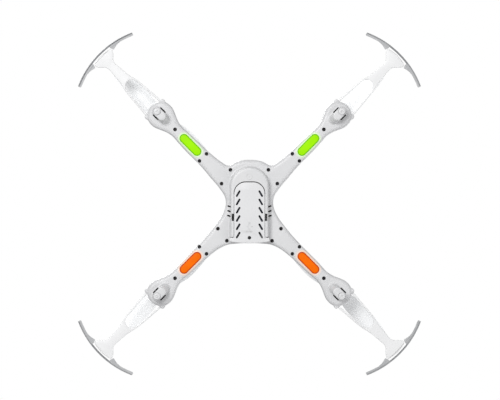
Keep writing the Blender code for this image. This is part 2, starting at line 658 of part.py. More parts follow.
def prop_shaft_mesh():
    bore = 0.7 * MM
    profile = ((0, SHAFT_TOP - 5 * MM), (bore, SHAFT_TOP - 5 * MM), (bore, SHAFT_TOP),
               (SHAFT_RADIUS, SHAFT_TOP),
               (SHAFT_RADIUS, SHAFT_FOOT), (0, SHAFT_FOOT))
    return turned("prop_shaft", profile, 12)


def prop_screw_mesh():
    profile = ((0, 43.5), (1.3, 43.5), (2.0, 42.9), (2.0, 42.2), (0.55, 42.2), (0.55, 37.0), (0, 37.0))
    return turned("prop_screw", [(r * MM, z * MM) for r, z in profile], 12)


def bushing_mesh():
    return turned("bushing", ((2.0 * MM, 32.8 * MM), (2.0 * MM, 29.4 * MM), (1.1 * MM, 29.4 * MM),
                              (1.1 * MM, 32.8 * MM)), 12, (ROTOR_X, 0, 0))


def blade_mesh():
    """One blade along +X: a loft of thin cambered sections, turning less towards the tip."""
    stations = ((2.6, 6.0, 27, 1.8), (7, 8.6, 27, 1.7), (14, 13.0, 24, 1.5), (24, 16.4, 19, 1.3),
                (36, 16.0, 15, 1.1),
                (48, 13.6, 12, 0.95), (58, 10.8, 10, 0.8), (64, 7.6, 9, 0.7), (66.5, 3.2, 9, 0.6))
    shape = bmesh.new()
    rings = []
    for reach, chord, pitch, thickness in stations:
        tilt = Matrix.Rotation(math.radians(pitch), 4, "X")
        section = ((-0.5, 0.1), (-0.2, 0.62), (0.2, 0.6), (0.5, 0.05), (0.2, -0.4), (-0.2, -0.38))
        ring = []
        for along, up in section:
            place = tilt @ Vector((0, along * chord * MM, up * thickness * MM))
            ring.append(shape.verts.new((reach * MM, place.y - 0.06 * chord * MM, 38.0 * MM + place.z)))
        rings.append(ring)
    for inner, outer in zip(rings, rings[1:]):
        for k in range(6):
            shape.faces.new((inner[k], inner[(k + 1) % 6], outer[(k + 1) % 6], outer[k]))
    shape.faces.new(rings[0])
    shape.faces.new(rings[-1])
    bmesh.ops.recalc_face_normals(shape, faces=shape.faces)
    bmesh.ops.triangulate(shape, faces=shape.faces)
    mesh = bpy.data.meshes.new("blade")
    shape.to_mesh(mesh)
    shape.free()
    return mesh


def propeller_mesh(mirror):
    """Two blades on a hub; mirror makes the one that turns the other way."""
    blade = blade_mesh()
    opposite = blade.copy()
    opposite.transform(Matrix.Rotation(math.pi, 4, "Z"))
    hub = turned("hub", ((0.75 * MM, HUB_TOP), (3.2 * MM, HUB_TOP), (HUB_RADIUS, HUB_TOP - 0.9 * MM),
                         (HUB_RADIUS, HUB_FLOOR), (1.2 * MM, HUB_FLOOR), (1.2 * MM, 41.2 * MM),
                         (0.75 * MM, 41.2 * MM)), 18)
    mesh = one_body("propeller", hub, [blade, opposite])
    if mirror:
        mesh.transform(Matrix.Scale(-1, 4, (0, 1, 0)))
        mesh.flip_normals()
    return mesh


# --- assembly -----------------------------------------------------------------------
def make_materials():
    return {
        "shell": make_material("white_shell", (0.80, 0.80, 0.81), 0.38),
        "guard": make_material("white_guard", (0.90, 0.90, 0.90), 0.35),
        "bumper": make_material("grey_bumper", (0.42, 0.43, 0.45), 0.5),
        "green": make_material("green_lens", (0.35, 0.85, 0.02), 0.3),
        "orange": make_material("orange_lens", (0.95, 0.18, 0.01), 0.3),
        "propeller": make_material("clear_white", (0.86, 0.87, 0.88), 0.3, 0.0, 0.6),
        "steel": make_material("steel", (0.55, 0.55, 0.56), 0.3, 1.0),
        "brass": make_material("brass", (0.75, 0.55, 0.22), 0.3, 1.0),
        "nylon": make_material("white_nylon", (0.82, 0.81, 0.76), 0.45),
        "screw": make_material("dark_steel", (0.05, 0.05, 0.055), 0.4, 1.0),
        "board": make_material("board", (0.02, 0.12, 0.05), 0.5),
        "battery": make_material("battery_wrap", (0.12, 0.14, 0.20), 0.35),
        "lead": make_material("lead_sleeve", (0.03, 0.03, 0.03), 0.5),
        "button": make_material("button_grey", (0.35, 0.36, 0.38), 0.45),
    }


def make_body(materials):
    lower_shell(materials["shell"])
    upper_shell(materials["shell"])
    door_guide = add_empty("door_slide", (0, 0, 0))
    battery_door(materials["shell"], door_guide)
    add_part("door_screw", screw_mesh("door_screw", 5.1 * MM, 15.4 * MM), materials["screw"], door_guide,
             (0, DOOR_SCREW_Y, 0))
    battery_pack(materials["battery"])
    battery_lead(materials["lead"])
    control_board(materials["board"])
    press_guide = add_empty("button_press", (0, BUTTON_Y, 43.6 * MM))
    power_button(materials["button"], press_guide)
    body_screw = screw_mesh("body_screw", 15.0 * MM, 24.8 * MM)
    for name, (x, y) in (("nose", NOSE_SCREW), ("tail", TAIL_SCREW)):
        add_part(name + "_left_screw", body_screw, materials["screw"], None, (x, y, 0))
        add_part(name + "_right_screw", body_screw, materials["screw"], None, (-x, y, 0))
    return body_screw


def make_arms(materials, body_screw):
    fixed = (("guard", guard_mesh(), "guard"), ("bumper", bumper_mesh(), "bumper"),
             ("motor", motor_mesh(), "steel"),
             ("light_board", light_board_mesh(), "board"), ("bushing", bushing_mesh(), "brass"))
    turning = (("prop_shaft", prop_shaft_mesh(), "steel"), ("main_gear", main_gear_mesh(), "nylon"),
               ("prop_screw", prop_screw_mesh(), "screw"))
    propellers = {False: propeller_mesh(False), True: propeller_mesh(True)}
    lenses = {"front": light_cover_mesh(), "rear": light_cover_mesh()}
    pinion = pinion_mesh()
    for arm, degrees in ARMS.items():
        frame = add_empty(arm + "_arm", (0, 0, 0), math.radians(degrees))
        rotor = add_empty(arm + "_rotor", (ROTOR_X, 0, 0), 0.0, frame)
        drive = add_empty(arm + "_drive", (MOTOR_X, 0, 0), 0.0, frame)
        for name, mesh, material in fixed:
            add_part(f"{arm}_{name}", mesh, materials[material], frame)
        end = arm.split("_")[0]
        add_part(arm + "_light_cover", lenses[end], materials["green" if end == "front" else "orange"], frame)
        add_part(arm + "_arm_screw", body_screw, materials["screw"], frame, (ARM_SCREW_X, 0, 0))
        for name, mesh, material in turning:
            add_part(f"{arm}_{name}", mesh, materials[material], rotor)
        mirror = arm in ("front_left", "rear_right")
        add_part(arm + "_propeller", propellers[mirror], materials["propeller"], rotor)
        add_part(arm + "_pinion", pinion, materials["brass"], drive)


def main():
    clear_scene()
    materials = make_materials()
    body_screw = make_body(materials)
    make_arms(materials, body_screw)


main()
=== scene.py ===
# %% [markdown]
# # A small quadcopter, built in Blender around its working frame
#
# The machine is a light indoor quadcopter: two white shells screwed together, four motor pods
# on slim arms, plug-in guards with grey bumpers, coloured light covers and a battery door on
# its belly. The frame that is loaded first already holds every working part at its true size
# and place. This lesson remakes the pieces that are seen with their real curves and details,
# and gives every piece its own finish.
#
# Lengths are in metres. Up is +Z and the nose points to -Y.

# %% Load the frame
import json
import math

import bmesh
import bpy
from mathutils import Matrix, Vector


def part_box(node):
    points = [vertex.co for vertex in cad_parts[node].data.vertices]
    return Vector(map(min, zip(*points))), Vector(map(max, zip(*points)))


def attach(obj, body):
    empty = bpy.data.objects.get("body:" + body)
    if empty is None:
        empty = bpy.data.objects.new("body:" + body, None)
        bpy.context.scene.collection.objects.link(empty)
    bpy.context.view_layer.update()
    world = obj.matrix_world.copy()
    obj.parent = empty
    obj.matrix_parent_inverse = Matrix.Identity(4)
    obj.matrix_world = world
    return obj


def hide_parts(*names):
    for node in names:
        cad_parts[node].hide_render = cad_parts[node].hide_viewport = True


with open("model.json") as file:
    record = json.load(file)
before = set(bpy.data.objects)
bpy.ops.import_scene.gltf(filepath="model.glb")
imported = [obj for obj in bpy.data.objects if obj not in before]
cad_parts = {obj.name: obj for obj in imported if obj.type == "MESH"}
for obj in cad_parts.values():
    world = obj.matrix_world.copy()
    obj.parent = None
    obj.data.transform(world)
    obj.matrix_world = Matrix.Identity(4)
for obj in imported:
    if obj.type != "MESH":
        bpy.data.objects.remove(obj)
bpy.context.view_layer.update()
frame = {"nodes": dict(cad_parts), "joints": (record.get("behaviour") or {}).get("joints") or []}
MM = 0.001


def mm(*values):
    """A place or a size that is given in millimetres."""
    return tuple(value * MM for value in values)


ARMS = {"front_left": -45.0, "front_right": -135.0, "rear_left": 45.0, "rear_right": 135.0}

# %% [markdown]
# ## Places that everything hangs on
#
# Heights that have to fit are read from parts of the frame, so that the remade pieces can't drift
# away from their neighbours. The rotor's distance from the middle comes from its joint.

# %% Read the driving sizes
lower_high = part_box("lower_shell")[1]
upper_low, upper_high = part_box("upper_shell")
door_low, door_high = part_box("battery_door")
guard_low, guard_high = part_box("front_left_guard")
bumper_low, bumper_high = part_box("front_left_bumper")
joints = {joint["name"]: joint for joint in frame["joints"]}
ROTOR_X = Vector(joints["front_left_rotor_spin"]["pos_m"][:2]).length
MOTOR_X = Vector(joints["front_left_pinion_spin"]["pos_m"][:2]).length
PARTING = lower_high.z
UPPER_FLOOR = upper_low.z
CANOPY_TOP = upper_high.z
ARM_FLOOR = 12.0 * MM
ARM_ROOF = 29.0 * MM
WALL = 1.3 * MM
EDGE_ROUND = 3.5 * MM
BELLY_FLOOR = door_low.z
BELLY_HALF = 17.0 * MM
BELLY_END = 31.0 * MM
DOOR_HALF = 14.05 * MM
DOOR_FRONT = door_low.y
DOOR_ARCH = 10.5 * MM
DOOR_SCREW_Y = 31.4 * MM
LIGHT_X = 77.4 * MM
LIGHT_SPAN = 17.0 * MM
LIGHT_HALF = 4.0 * MM
print(f"rotors at {ROTOR_X / MM:.1f} mm, motors at {MOTOR_X / MM:.1f} mm, parting at {PARTING / MM:.1f} mm")

# %% [markdown]
# ## The camera, the lights and the floor
#
# The drone is looked at from straight below, through a long lens, with its nose at the top of
# the frame. A drone that is seen like this can't stand on an ordinary floor, so the floor here
# shows its face only to a camera above it and lets light through. Wide soft lamps below and
# above give the even light of a studio table.

# %% Camera
VIEW_PLANE = 20 * MM
VIEW_WIDTH = 465.1 * MM
VIEW_CENTRE = mm(0.5, -3.6)
VIEW_DISTANCE = 3.5
camera_data = bpy.data.cameras.new("camera")
camera_data.sensor_width = 36.0
camera_data.lens = camera_data.sensor_width * VIEW_DISTANCE / VIEW_WIDTH
camera_data.clip_end = 20.0
camera = bpy.data.objects.new("camera", camera_data)
camera.location = (*VIEW_CENTRE, VIEW_PLANE - VIEW_DISTANCE)
camera.rotation_euler = (math.pi, 0, 0)
bpy.context.collection.objects.link(camera)
bpy.context.scene.camera = camera
bpy.context.scene.view_settings.view_transform = "Standard"
print(f"lens {camera_data.lens:.0f} mm at {VIEW_DISTANCE} m")


# %% Lamps and surroundings
def blend_shaders(tree, factor, first, second, output):
    """Show the first shader where the factor is 0 and the second where it is 1."""
    blend = tree.nodes.new("ShaderNodeMixShader")
    for source, socket in ((factor, blend.inputs["Fac"]), (first.outputs[0], blend.inputs[1]),
                           (second.outputs[0], blend.inputs[2]),
                           (blend.outputs[0], output.inputs["Surface"])):
        tree.links.new(source, socket)


def soft_lamp(name, place, size, power):
    """A square lamp that faces the drone."""
    data = bpy.data.lights.new(name, "AREA")
    data.size = size
    data.energy = power
    lamp = bpy.data.objects.new(name, data)
    lamp.location = place
    lamp.rotation_euler = (-Vector(place)).to_track_quat("-Z", "Y").to_euler()
    bpy.context.collection.objects.link(lamp)


soft_lamp("key_below", (-0.55, -0.6, -1.5), 0.7, 17.5)
soft_lamp("fill_below", (0.9, 0.6, -1.1), 1.2, 5.0)
soft_lamp("key_above", (-0.7, -0.9, 1.5), 0.9, 22.0)
soft_lamp("fill_above", (1.0, 0.7, 1.1), 1.3, 8.0)

world = bpy.data.worlds.new("studio")
bpy.context.scene.world = world
world.use_nodes = True
nodes = world.node_tree.nodes
backdrop = nodes["Background"]
backdrop.inputs["Color"].default_value = (1.0, 1.0, 1.0, 1.0)
ambient = nodes.new("ShaderNodeBackground")
ambient.inputs["Color"].default_value = (0.98, 0.985, 1.0, 1.0)
ambient.inputs["Strength"].default_value = 0.38
ray = nodes.new("ShaderNodeLightPath")
blend_shaders(world.node_tree, ray.outputs["Is Camera Ray"], ambient, backdrop, nodes["World Output"])


# %% A floor that is seen from above only
bpy.ops.object.select_all(action="DESELECT")
bpy.ops.mesh.primitive_plane_add(size=30.0, location=(0, 0, 0))
floor = bpy.context.active_object
floor.name = "studio_floor"
floor_paint = bpy.data.materials.new("pale_floor")
floor_paint.use_nodes = True
nodes = floor_paint.node_tree.nodes
paint = nodes["Principled BSDF"]
paint.inputs["Base Color"].default_value = (0.86, 0.86, 0.86, 1)
paint.inputs["Roughness"].default_value = 0.8
see_through = nodes.new("ShaderNodeBsdfTransparent")
side = nodes.new("ShaderNodeNewGeometry")
blend_shaders(floor_paint.node_tree, side.outputs["Backfacing"], paint, see_through, nodes["Material Output"])
floor.data.materials.append(floor_paint)
for kind in ("diffuse", "glossy", "transmission", "shadow"):
    setattr(floor, "visible_" + kind, False)
print("floor stands at z =", floor.location.z)


# %% [markdown]
# ## Small tools for modelling
#
# Operators work on whatever is selected, so each helper clears the selection first. A flat
# outline starts as a filled circle whose corners are moved onto the outline; extruding it gives
# a solid plate, and a rim is rounded with the bevel tool.

# %% Selecting and settling
def only(obj):
    """Make obj the one selected and active object."""
    if bpy.context.mode != "OBJECT":
        bpy.ops.object.mode_set(mode="OBJECT")
    bpy.ops.object.select_all(action="DESELECT")
    obj.select_set(True)
    bpy.context.view_layer.objects.active = obj
    return obj


def settle(obj):
    """Put an object's place, turn and size into its mesh."""
    only(obj)
    bpy.ops.object.transform_apply(location=True, rotation=True, scale=True)
    return obj


def edit(obj, kind, test):
    """Enter edit mode with only the edges or faces that pass the test selected."""
    only(obj)
    mesh = obj.data
    for items in (mesh.vertices, mesh.edges, mesh.polygons):
        items.foreach_set("select", [False] * len(items))
    bpy.context.tool_settings.mesh_select_mode = (False, kind == "EDGE", kind == "FACE")
    for item in mesh.edges if kind == "EDGE" else mesh.polygons:
        item.select = test(item)
    bpy.ops.object.mode_set(mode="EDIT")


def done():
    bpy.ops.object.mode_set(mode="OBJECT")


def made(name):
    """The object that an operator has just made, named."""
    obj = bpy.context.active_object
    obj.name = name
    return obj


def mesh_object(name, points, edges, faces):
    mesh = bpy.data.meshes.new(name)
    mesh.from_pydata(points, edges, faces)
    obj = bpy.data.objects.new(name, mesh)
    bpy.context.collection.objects.link(obj)
    return obj


def apply_modifier(obj, kind, **settings):
    """Add a modifier with the given settings and apply it at once."""
    only(obj)
    step = obj.modifiers.new(kind.lower(), kind)
    for label, value in settings.items():
        setattr(step, label, value)
    bpy.ops.object.modifier_apply(modifier=step.name)
    return obj


def recalculate(obj):
    """Merge doubled corners and turn the faces outwards."""
    only(obj)
    bpy.ops.object.mode_set(mode="EDIT")
    bpy.ops.mesh.select_all(action="SELECT")
    bpy.ops.mesh.remove_doubles(threshold=0.001 * MM)
    bpy.ops.mesh.normals_make_consistent(inside=False)
    done()
    return obj


# %% Plates, pills, drills and blocks
def plate(name, outline, floor_z, roof_z):
    """A flat solid with the given outline."""
    bpy.ops.object.select_all(action="DESELECT")
    bpy.ops.mesh.primitive_circle_add(vertices=len(outline), radius=0.05, fill_type="NGON")
    obj = made(name)
    for vertex, place in zip(obj.data.vertices, outline):
        vertex.co = (place[0], place[1], floor_z)
    bpy.ops.object.mode_set(mode="EDIT")
    bpy.ops.mesh.select_all(action="SELECT")
    bpy.ops.mesh.extrude_region_move(TRANSFORM_OT_translate={"value": (0, 0, roof_z - floor_z)})
    done()
    return recalculate(obj)


def round_rim(obj, height, offset, segments=3):
    """Bevel every edge that lies at one height."""
    def at_height(edge):
        return all(abs(obj.data.vertices[i].co.z - height) < 0.005 * MM for i in edge.vertices)
    edit(obj, "EDGE", at_height)
    bpy.ops.mesh.bevel(offset=offset, segments=segments, affect="EDGES")
    done()
    return obj


def pill_outline(x_in, x_out, half, steps=12):
    """Two half circles joined by straight sides, along X."""
    outline = []
    for centre, start in ((x_out, -90), (x_in, 90)):
        for k in range(steps + 1):
            angle = math.radians(start + 180 * k / steps)
            outline.append((centre + half * math.cos(angle), half * math.sin(angle)))
    return outline


def drill(name, place, radius, floor_z, roof_z, sides=28):
    """A round cutter or post."""
    bpy.ops.object.select_all(action="DESELECT")
    bpy.ops.mesh.primitive_cylinder_add(vertices=sides, radius=radius, depth=roof_z - floor_z,
                                        location=(place[0], place[1], (floor_z + roof_z) / 2))
    return settle(made(name))


def box(name, low, high, round_by=0.0, segments=2):
    """A block between two corners, with rounded edges if wanted."""
    bpy.ops.object.select_all(action="DESELECT")
    bpy.ops.mesh.primitive_cube_add(size=1, location=[(a + b) / 2 for a, b in zip(low, high)])
    obj = made(name)
    obj.scale = [b - a for a, b in zip(low, high)]
    settle(obj)
    if round_by:
        edit(obj, "EDGE", lambda edge: True)
        bpy.ops.mesh.bevel(offset=round_by, segments=segments, affect="EDGES")
        done()
    return obj


def slot_cutter(name, centre, length, width, turn, floor_z, roof_z, steps=6):
    """A pill-shaped cutter, turned about its own middle."""
    reach = (length - width) / 2
    tool = plate(name, pill_outline(-reach, reach, width / 2, steps), floor_z, roof_z)
    tool.data.transform(Matrix.Translation((*centre, 0)) @ Matrix.Rotation(turn, 4, "Z"))
    return tool


# %% Combining and copying
def join(objects):
    bpy.ops.object.select_all(action="DESELECT")
    for obj in objects:
        obj.select_set(True)
    bpy.context.view_layer.objects.active = objects[0]
    if len(objects) > 1:
        bpy.ops.object.join()
    return bpy.context.active_object


def combine(obj, operation, tools):
    """Union or difference with the tools, which are used up."""
    tool = join(tools)
    apply_modifier(obj, "BOOLEAN", operation=operation, solver="MANIFOLD", object=tool)
    bpy.data.objects.remove(tool, do_unlink=True)
    return obj


def duplicate(obj, name):
    copy = obj.copy()
    copy.data = obj.data.copy()
    copy.name = name
    bpy.context.collection.objects.link(copy)
    return copy


def upright_turn(degrees):
    """A turn about the Z axis."""
    return Matrix.Rotation(math.radians(degrees), 4, "Z")


def on_every_arm(objects):
    """Turned copies on all four arms; the originals are used up."""
    copies = []
    for obj in objects:
        for degrees in ARMS.values():
            copy = duplicate(obj, obj.name)
            copy.data.transform(upright_turn(degrees))
            copies.append(copy)
        bpy.data.objects.remove(obj, do_unlink=True)
    return copies


def both_sides(objects):
    """The objects and their mirror images in the plane x = 0."""
    copies = list(objects)
    for obj in objects:
        copy = duplicate(obj, obj.name)
        copy.data.transform(Matrix.Scale(-1, 4, (1, 0, 0)))
        copy.data.flip_normals()
        copies.append(copy)
    return copies


def soften(obj, voxel, rounds):
    """Melt sharp joins together: remesh into small even faces, then smooth them."""
    apply_modifier(obj, "REMESH", mode="VOXEL", voxel_size=voxel)
    return apply_modifier(obj, "SMOOTH", factor=0.5, iterations=rounds)


def keep_side(obj, height, upper):
    """Cut at one height and close the cut; keep what is above it, or below."""
    edit(obj, "FACE", lambda face: True)
    bpy.ops.mesh.bisect(plane_co=(0, 0, height), plane_no=(0, 0, 1), use_fill=True,
                        clear_inner=upper, clear_outer=not upper)
    done()
    return obj


def shade(obj, degrees=32):
    only(obj)
    bpy.ops.object.shade_smooth_by_angle(angle=math.radians(degrees))
    return obj


def triangles(obj):
    return sum(len(face.vertices) - 2 for face in obj.data.polygons)


# %% Turned solids and groove tools
def turned(name, profile, place=(0, 0), sides=32, closed=False):
    """A solid of revolution about a vertical axis, from a profile of radius and height in mm."""
    count = len(profile)
    edges = [(i, (i + 1) % count) for i in range(count if closed else count - 1)]
    obj = mesh_object(name, [mm(r, 0, z) for r, z in profile], edges, [])
    apply_modifier(obj, "SCREW", steps=sides, render_steps=sides, use_merge_vertices=True,
                   merge_threshold=0.001 * MM)
    recalculate(obj)
    obj.data.transform(Matrix.Translation((*place, 0)))
    return obj


def ring_tool(name, centre, half_x, half_y, thick):
    """A closed round bar in the shape of an ellipse, for cutting a groove."""
    bpy.ops.object.select_all(action="DESELECT")
    bpy.ops.curve.primitive_bezier_circle_add(radius=1.0, location=centre)
    obj = made(name)
    obj.scale = (half_x, half_y, 1)
    bpy.ops.object.transform_apply(location=True, rotation=True, scale=True)
    obj.data.resolution_u = 24
    obj.data.bevel_depth = thick
    obj.data.bevel_resolution = 1
    bpy.ops.object.convert(target="MESH")
    return recalculate(bpy.context.active_object)


def fuse(objects):
    """Union small solids that overlap, one after another."""
    whole = objects[0]
    for other in objects[1:]:
        combine(whole, "UNION", [other])
    return whole


# %% [markdown]
# ## The outline of the body
#
# Half of the body's plan is set out as a few points: nose and tail in the drone's own axes, and
# the arm in the arm's axes, so that both pods are the same shape. A smooth curve through the
# points gives the moulded line.

# %% Body outline
NOSE_POINTS = ((0, -41.0), (5, -40.8), (9.5, -40.0), (13.5, -38.6), (16.2, -37.0), (18.4, -35.7))
FRONT_EDGE = ((38.25, -12.2), (40.6, -10.2), (45.8, -9.0), (52, -8.1), (62, -7.3), (78, -6.9), (88, -6.5))
WAIST_FRONT = ((78, 7.1), (60, 7.1), (50, 7.6), (44, 8.3), (38, 8.6))
WAIST_POINTS = ((29.0, -16), (26.0, -12), (23.5, -8), (22.2, -4), (22.0, 0), (22.7, 4), (24.2, 8),
                (26.3, 12), (29.0, 16))
WAIST_REAR = ((38, 8.4), (44, 7.7), (50, 7.2), (60, 6.8), (78, 6.7))
REAR_EDGE = ((88, -6.6), (78, -7.2), (62, -7.8), (52, -8.9), (46, -10.5), (42, -12.1))
TAIL_POINTS = ((18.0, 37.5), (13, 37.0), (7, 36.6), (0, 36.4))
POD_POINTS = ((93, 6.15), (97, 6.4), (101, 7.3), (104, 8.4), (107, 9.8), (110, 11.1), (113, 12.2),
              (116.5, 12.6), (120, 12.2), (123, 10.9), (125.5, 8.8), (127.4, 6.0), (128.5, 3.0), (128.8, 0))


def spline(padded, steps):
    """A smooth curve through the points, except the two at the ends, which only steer it."""
    curve = []
    for before, start, end, after in zip(padded, padded[1:], padded[2:], padded[3:]):
        for k in range(steps):
            t = k / steps
            curve.append(0.5 * (2 * start + (end - before) * t
                                + (2 * before - 5 * start + 4 * end - after) * t * t
                                + (3 * start - 3 * end + after - before) * t ** 3))
    return curve + [padded[-2]]


def smooth(points, steps):
    """Points on a smooth curve through the given points."""
    points = [Vector(p) for p in points]
    return spline([2 * points[0] - points[1]] + points + [2 * points[-1] - points[-2]], steps)


def from_arm(points, side):
    half = math.sqrt(0.5)
    return [((x + y) * half, (x - y) * half * side) for x, y in points]


def body_outline(steps):
    """The outline of body, arms and pods, anticlockwise from the nose."""
    away = tuple((x, -y) for x, y in POD_POINTS)
    lead = FRONT_EDGE + away + POD_POINTS[::-1][1:] + WAIST_FRONT
    trail = WAIST_REAR + POD_POINTS + away[::-1][1:] + REAR_EDGE
    run = from_arm(lead, -1) + list(WAIST_POINTS) + from_arm(trail, 1) + list(TAIL_POINTS)
    half = smooth(NOSE_POINTS, steps)[:-1] + smooth(run, steps)
    other = [Vector((-p.x, p.y)) for p in reversed(half[1:-1])]
    return [p * MM for p in half + other]


def inset(outline, distance):
    """The outline moved inwards."""
    moved = []
    for i, place in enumerate(outline):
        along = (outline[(i + 1) % len(outline)] - outline[i - 1]).normalized()
        moved.append(place + Vector((-along.y, along.x)) * distance)
    return moved


def arch_outline(half, corner, front, back, steps=12):
    """Straight sides and a square back, with round front corners."""
    outline = [(half, back)]
    for turn in (1, -1):
        for k in range(steps + 1):
            angle = math.radians(90 * k / steps if turn > 0 else 90 - 90 * k / steps)
            outline.append(((half - corner + corner * math.cos(angle)) * turn,
                            front + corner - corner * math.sin(angle)))
    outline.append((-half, back))
    return outline


BODY = body_outline(3)
print("body outline:", len(BODY), "points")

# %% [markdown]
# ## The lower shell
#
# The real shell is one moulding with soft, melted-together forms: flat arms, a raised belly and
# a boss for each motor. Bevelling every join by hand would be slow where so many curves meet.
# So plain solids are put together, remeshed into small even faces and smoothed until the joins
# flow. Only then are the crisp features cut: the inside, the door opening, vents and screw holes.

# %% Outer form of the lower shell
SKIN_VOXEL = 0.55 * MM
SKIN_SHARE = 0.5
BOSS_IN = 115.4 * MM
BOSS_SLOPE = 6.5 * MM
EAR_X, EAR_Y, EAR_RADIUS = mm(124.4, 10.1, 2.35)
BELLY_ROUND = 2.4 * MM


def motor_boss():
    """A boss whose inner end slopes up into the arm."""
    boss = plate("boss", pill_outline(BOSS_IN, MOTOR_X, 4.15 * MM, 16), 1.0 * MM, 15 * MM)
    for vertex in boss.data.vertices:
        if vertex.co.x < BOSS_IN + 0.1 * MM and vertex.co.z > 5 * MM:
            vertex.co.x -= BOSS_SLOPE
    return boss


def ear(side):
    """The round lug on a pod that holds one prong of the guard."""
    return drill("ear", (EAR_X, EAR_Y * side), EAR_RADIUS, guard_low.z - 1.4 * MM, guard_high.z + 1.4 * MM)


def belly_form():
    """The raised belly; its rim is rounded round the arch and left square behind."""
    outline = arch_outline(BELLY_HALF + 0.9 * MM, BELLY_HALF + 0.6 * MM, -34.2 * MM, BELLY_END, 24)
    belly = plate("belly", outline, BELLY_FLOOR, 17 * MM)

    def arch_rim(edge):
        ends = [belly.data.vertices[i].co for i in edge.vertices]
        return all(abs(end.z - BELLY_FLOOR) < 0.005 * MM for end in ends) and \
            any(end.y < BELLY_END - 0.1 * MM for end in ends)
    edit(belly, "EDGE", arch_rim)
    bpy.ops.mesh.bevel(offset=BELLY_ROUND, segments=5, affect="EDGES")
    done()
    return belly


lower = plate("lower_shell_skin", BODY, ARM_FLOOR, ARM_ROOF)
round_rim(lower, ARM_FLOOR, EDGE_ROUND, 5)
combine(lower, "UNION", [belly_form()])
for form in (motor_boss(), ear(1), ear(-1)):
    combine(lower, "UNION", on_every_arm([form]))
soften(lower, SKIN_VOXEL, 20)
keep_side(lower, PARTING, upper=False)
apply_modifier(lower, "DECIMATE", ratio=SKIN_SHARE)
print("outer form:", triangles(lower), "triangles")

# %% [markdown]
# ## Hollowing the lower shell
#
# The shell is a thin moulding, so its inside is cut away at a wall's thickness from the outline.
# The belly holds the battery: a box that is open below, where the door slides on two rails, and
# open at the rear. Screw posts are then stood back up inside, because each screw has to reach
# the upper shell from a deep round recess.

# %% Hollow and posts
BOX_HALF = 14.6 * MM
BOX_FLOOR = 5.8 * MM
PAST_REAR = 45 * MM
SCREW_PLACES = {"nose": mm(17.65, -31.6), "tail": mm(20.95, 34.25), "shoulder": mm(25.9, -18.75),
                "hip": mm(29.35, 23.0)}
ARM_SCREWS = {"arm": (97.7 * MM, 0.0), "arm_fore": mm(61.0, 4.7), "arm_aft": mm(61.0, -4.7)}
POST_FOOT = ARM_FLOOR + 0.6 * MM
POST_HEAD = PARTING - 0.1 * MM


def at_screws(make):
    """What make builds at a place, at every screw of the body and the arms."""
    body = both_sides([make(place) for place in SCREW_PLACES.values()])
    return body + on_every_arm([make(place) for place in ARM_SCREWS.values()])



hollow = plate("hollow", inset(BODY, WALL), ARM_FLOOR + WALL, 40 * MM)
round_rim(hollow, ARM_FLOOR + WALL, 2.0 * MM, 2)
box_walls = box("box_walls", (-BELLY_HALF + 0.8 * MM, -21.8 * MM, 10 * MM),
                (BELLY_HALF - 0.8 * MM, 30.6 * MM, 16.2 * MM))
combine(hollow, "DIFFERENCE", [box_walls])
combine(lower, "DIFFERENCE", [hollow])

posts = both_sides([drill("post", place, 2.5 * MM, POST_FOOT, POST_HEAD, 20)
                    for place in SCREW_PLACES.values()])
posts += on_every_arm([drill("post", place, 2.4 * MM, POST_FOOT, POST_HEAD, 20)
                       for place in ARM_SCREWS.values()])
posts += on_every_arm([drill("shaft_post", (ROTOR_X, 0), 2.4 * MM, POST_FOOT, 20 * MM, 20)])
combine(lower, "UNION", posts)

# %% [markdown]
# Each boss ends in a small round foot, and the drone stands on these four. The foot is joined
# on after the smoothing, so that its edge stays crisp.

# %% Feet
foot = turned("foot", ((0, 2.5), (3.05, 2.5), (3.05, 0.35), (2.95, 0.1), (2.7, 0), (0, 0)), (MOTOR_X, 0), 40)
combine(lower, "UNION", on_every_arm([foot]))
print("with posts and feet:", triangles(lower), "triangles")

# %% [markdown]
# ## Vents, recesses and light windows
#
# Everything that is crisp in the moulding comes from a steel core pin or blade in the mould, so
# each is cut with its own small tool: stepped drills for the screws, pill-shaped blades for the
# vents, and a wider seat inside each light window for the flange of its cover. Tools that overlap
# are fused first, because a boolean wants every tool to be one clean solid.

# %% Cut the battery box and the door opening
gap_outline = arch_outline(DOOR_HALF + 0.55 * MM, DOOR_ARCH + 0.5 * MM, DOOR_FRONT - 0.85 * MM, PAST_REAR)
cuts = [box("battery_box", (-BOX_HALF, DOOR_FRONT - 0.3 * MM, BOX_FLOOR), (BOX_HALF, 28.2 * MM, 15 * MM)),
        box("box_mouth", (-BOX_HALF, 28.1 * MM, BOX_FLOOR), (BOX_HALF, PAST_REAR, 11.9 * MM)),
        box("rails", mm(-15.5, -9.5, 4.1), (15.5 * MM, PAST_REAR, 5.9 * MM)),
        box("screw_slot", (-1.1 * MM, DOOR_SCREW_Y - 1.1 * MM, 11.4 * MM), mm(1.1, 50, 16.4)),
        box("lead_hole", mm(-2, -19.8, 14), mm(2, -16.9, 18)),
        plate("door_gap", gap_outline, 1 * MM, 9.0 * MM)]
cuts += both_sides([box("notch", mm(14.3, 9.1, 2), mm(16.5, 15.8, 14.8), 0.3 * MM, 1)])
combine(lower, "DIFFERENCE", [fuse(cuts)])
nose_hollow = plate("nose_hollow", arch_outline(12.5 * MM, 9 * MM, -31.2 * MM, -22.2 * MM), 4.8 * MM, 25 * MM)
tail_room = box("tail_room", (-19 * MM, BELLY_END + 0.05 * MM, 1 * MM), (19 * MM, PAST_REAR, 11.95 * MM))
combine(lower, "DIFFERENCE", [nose_hollow, tail_room])

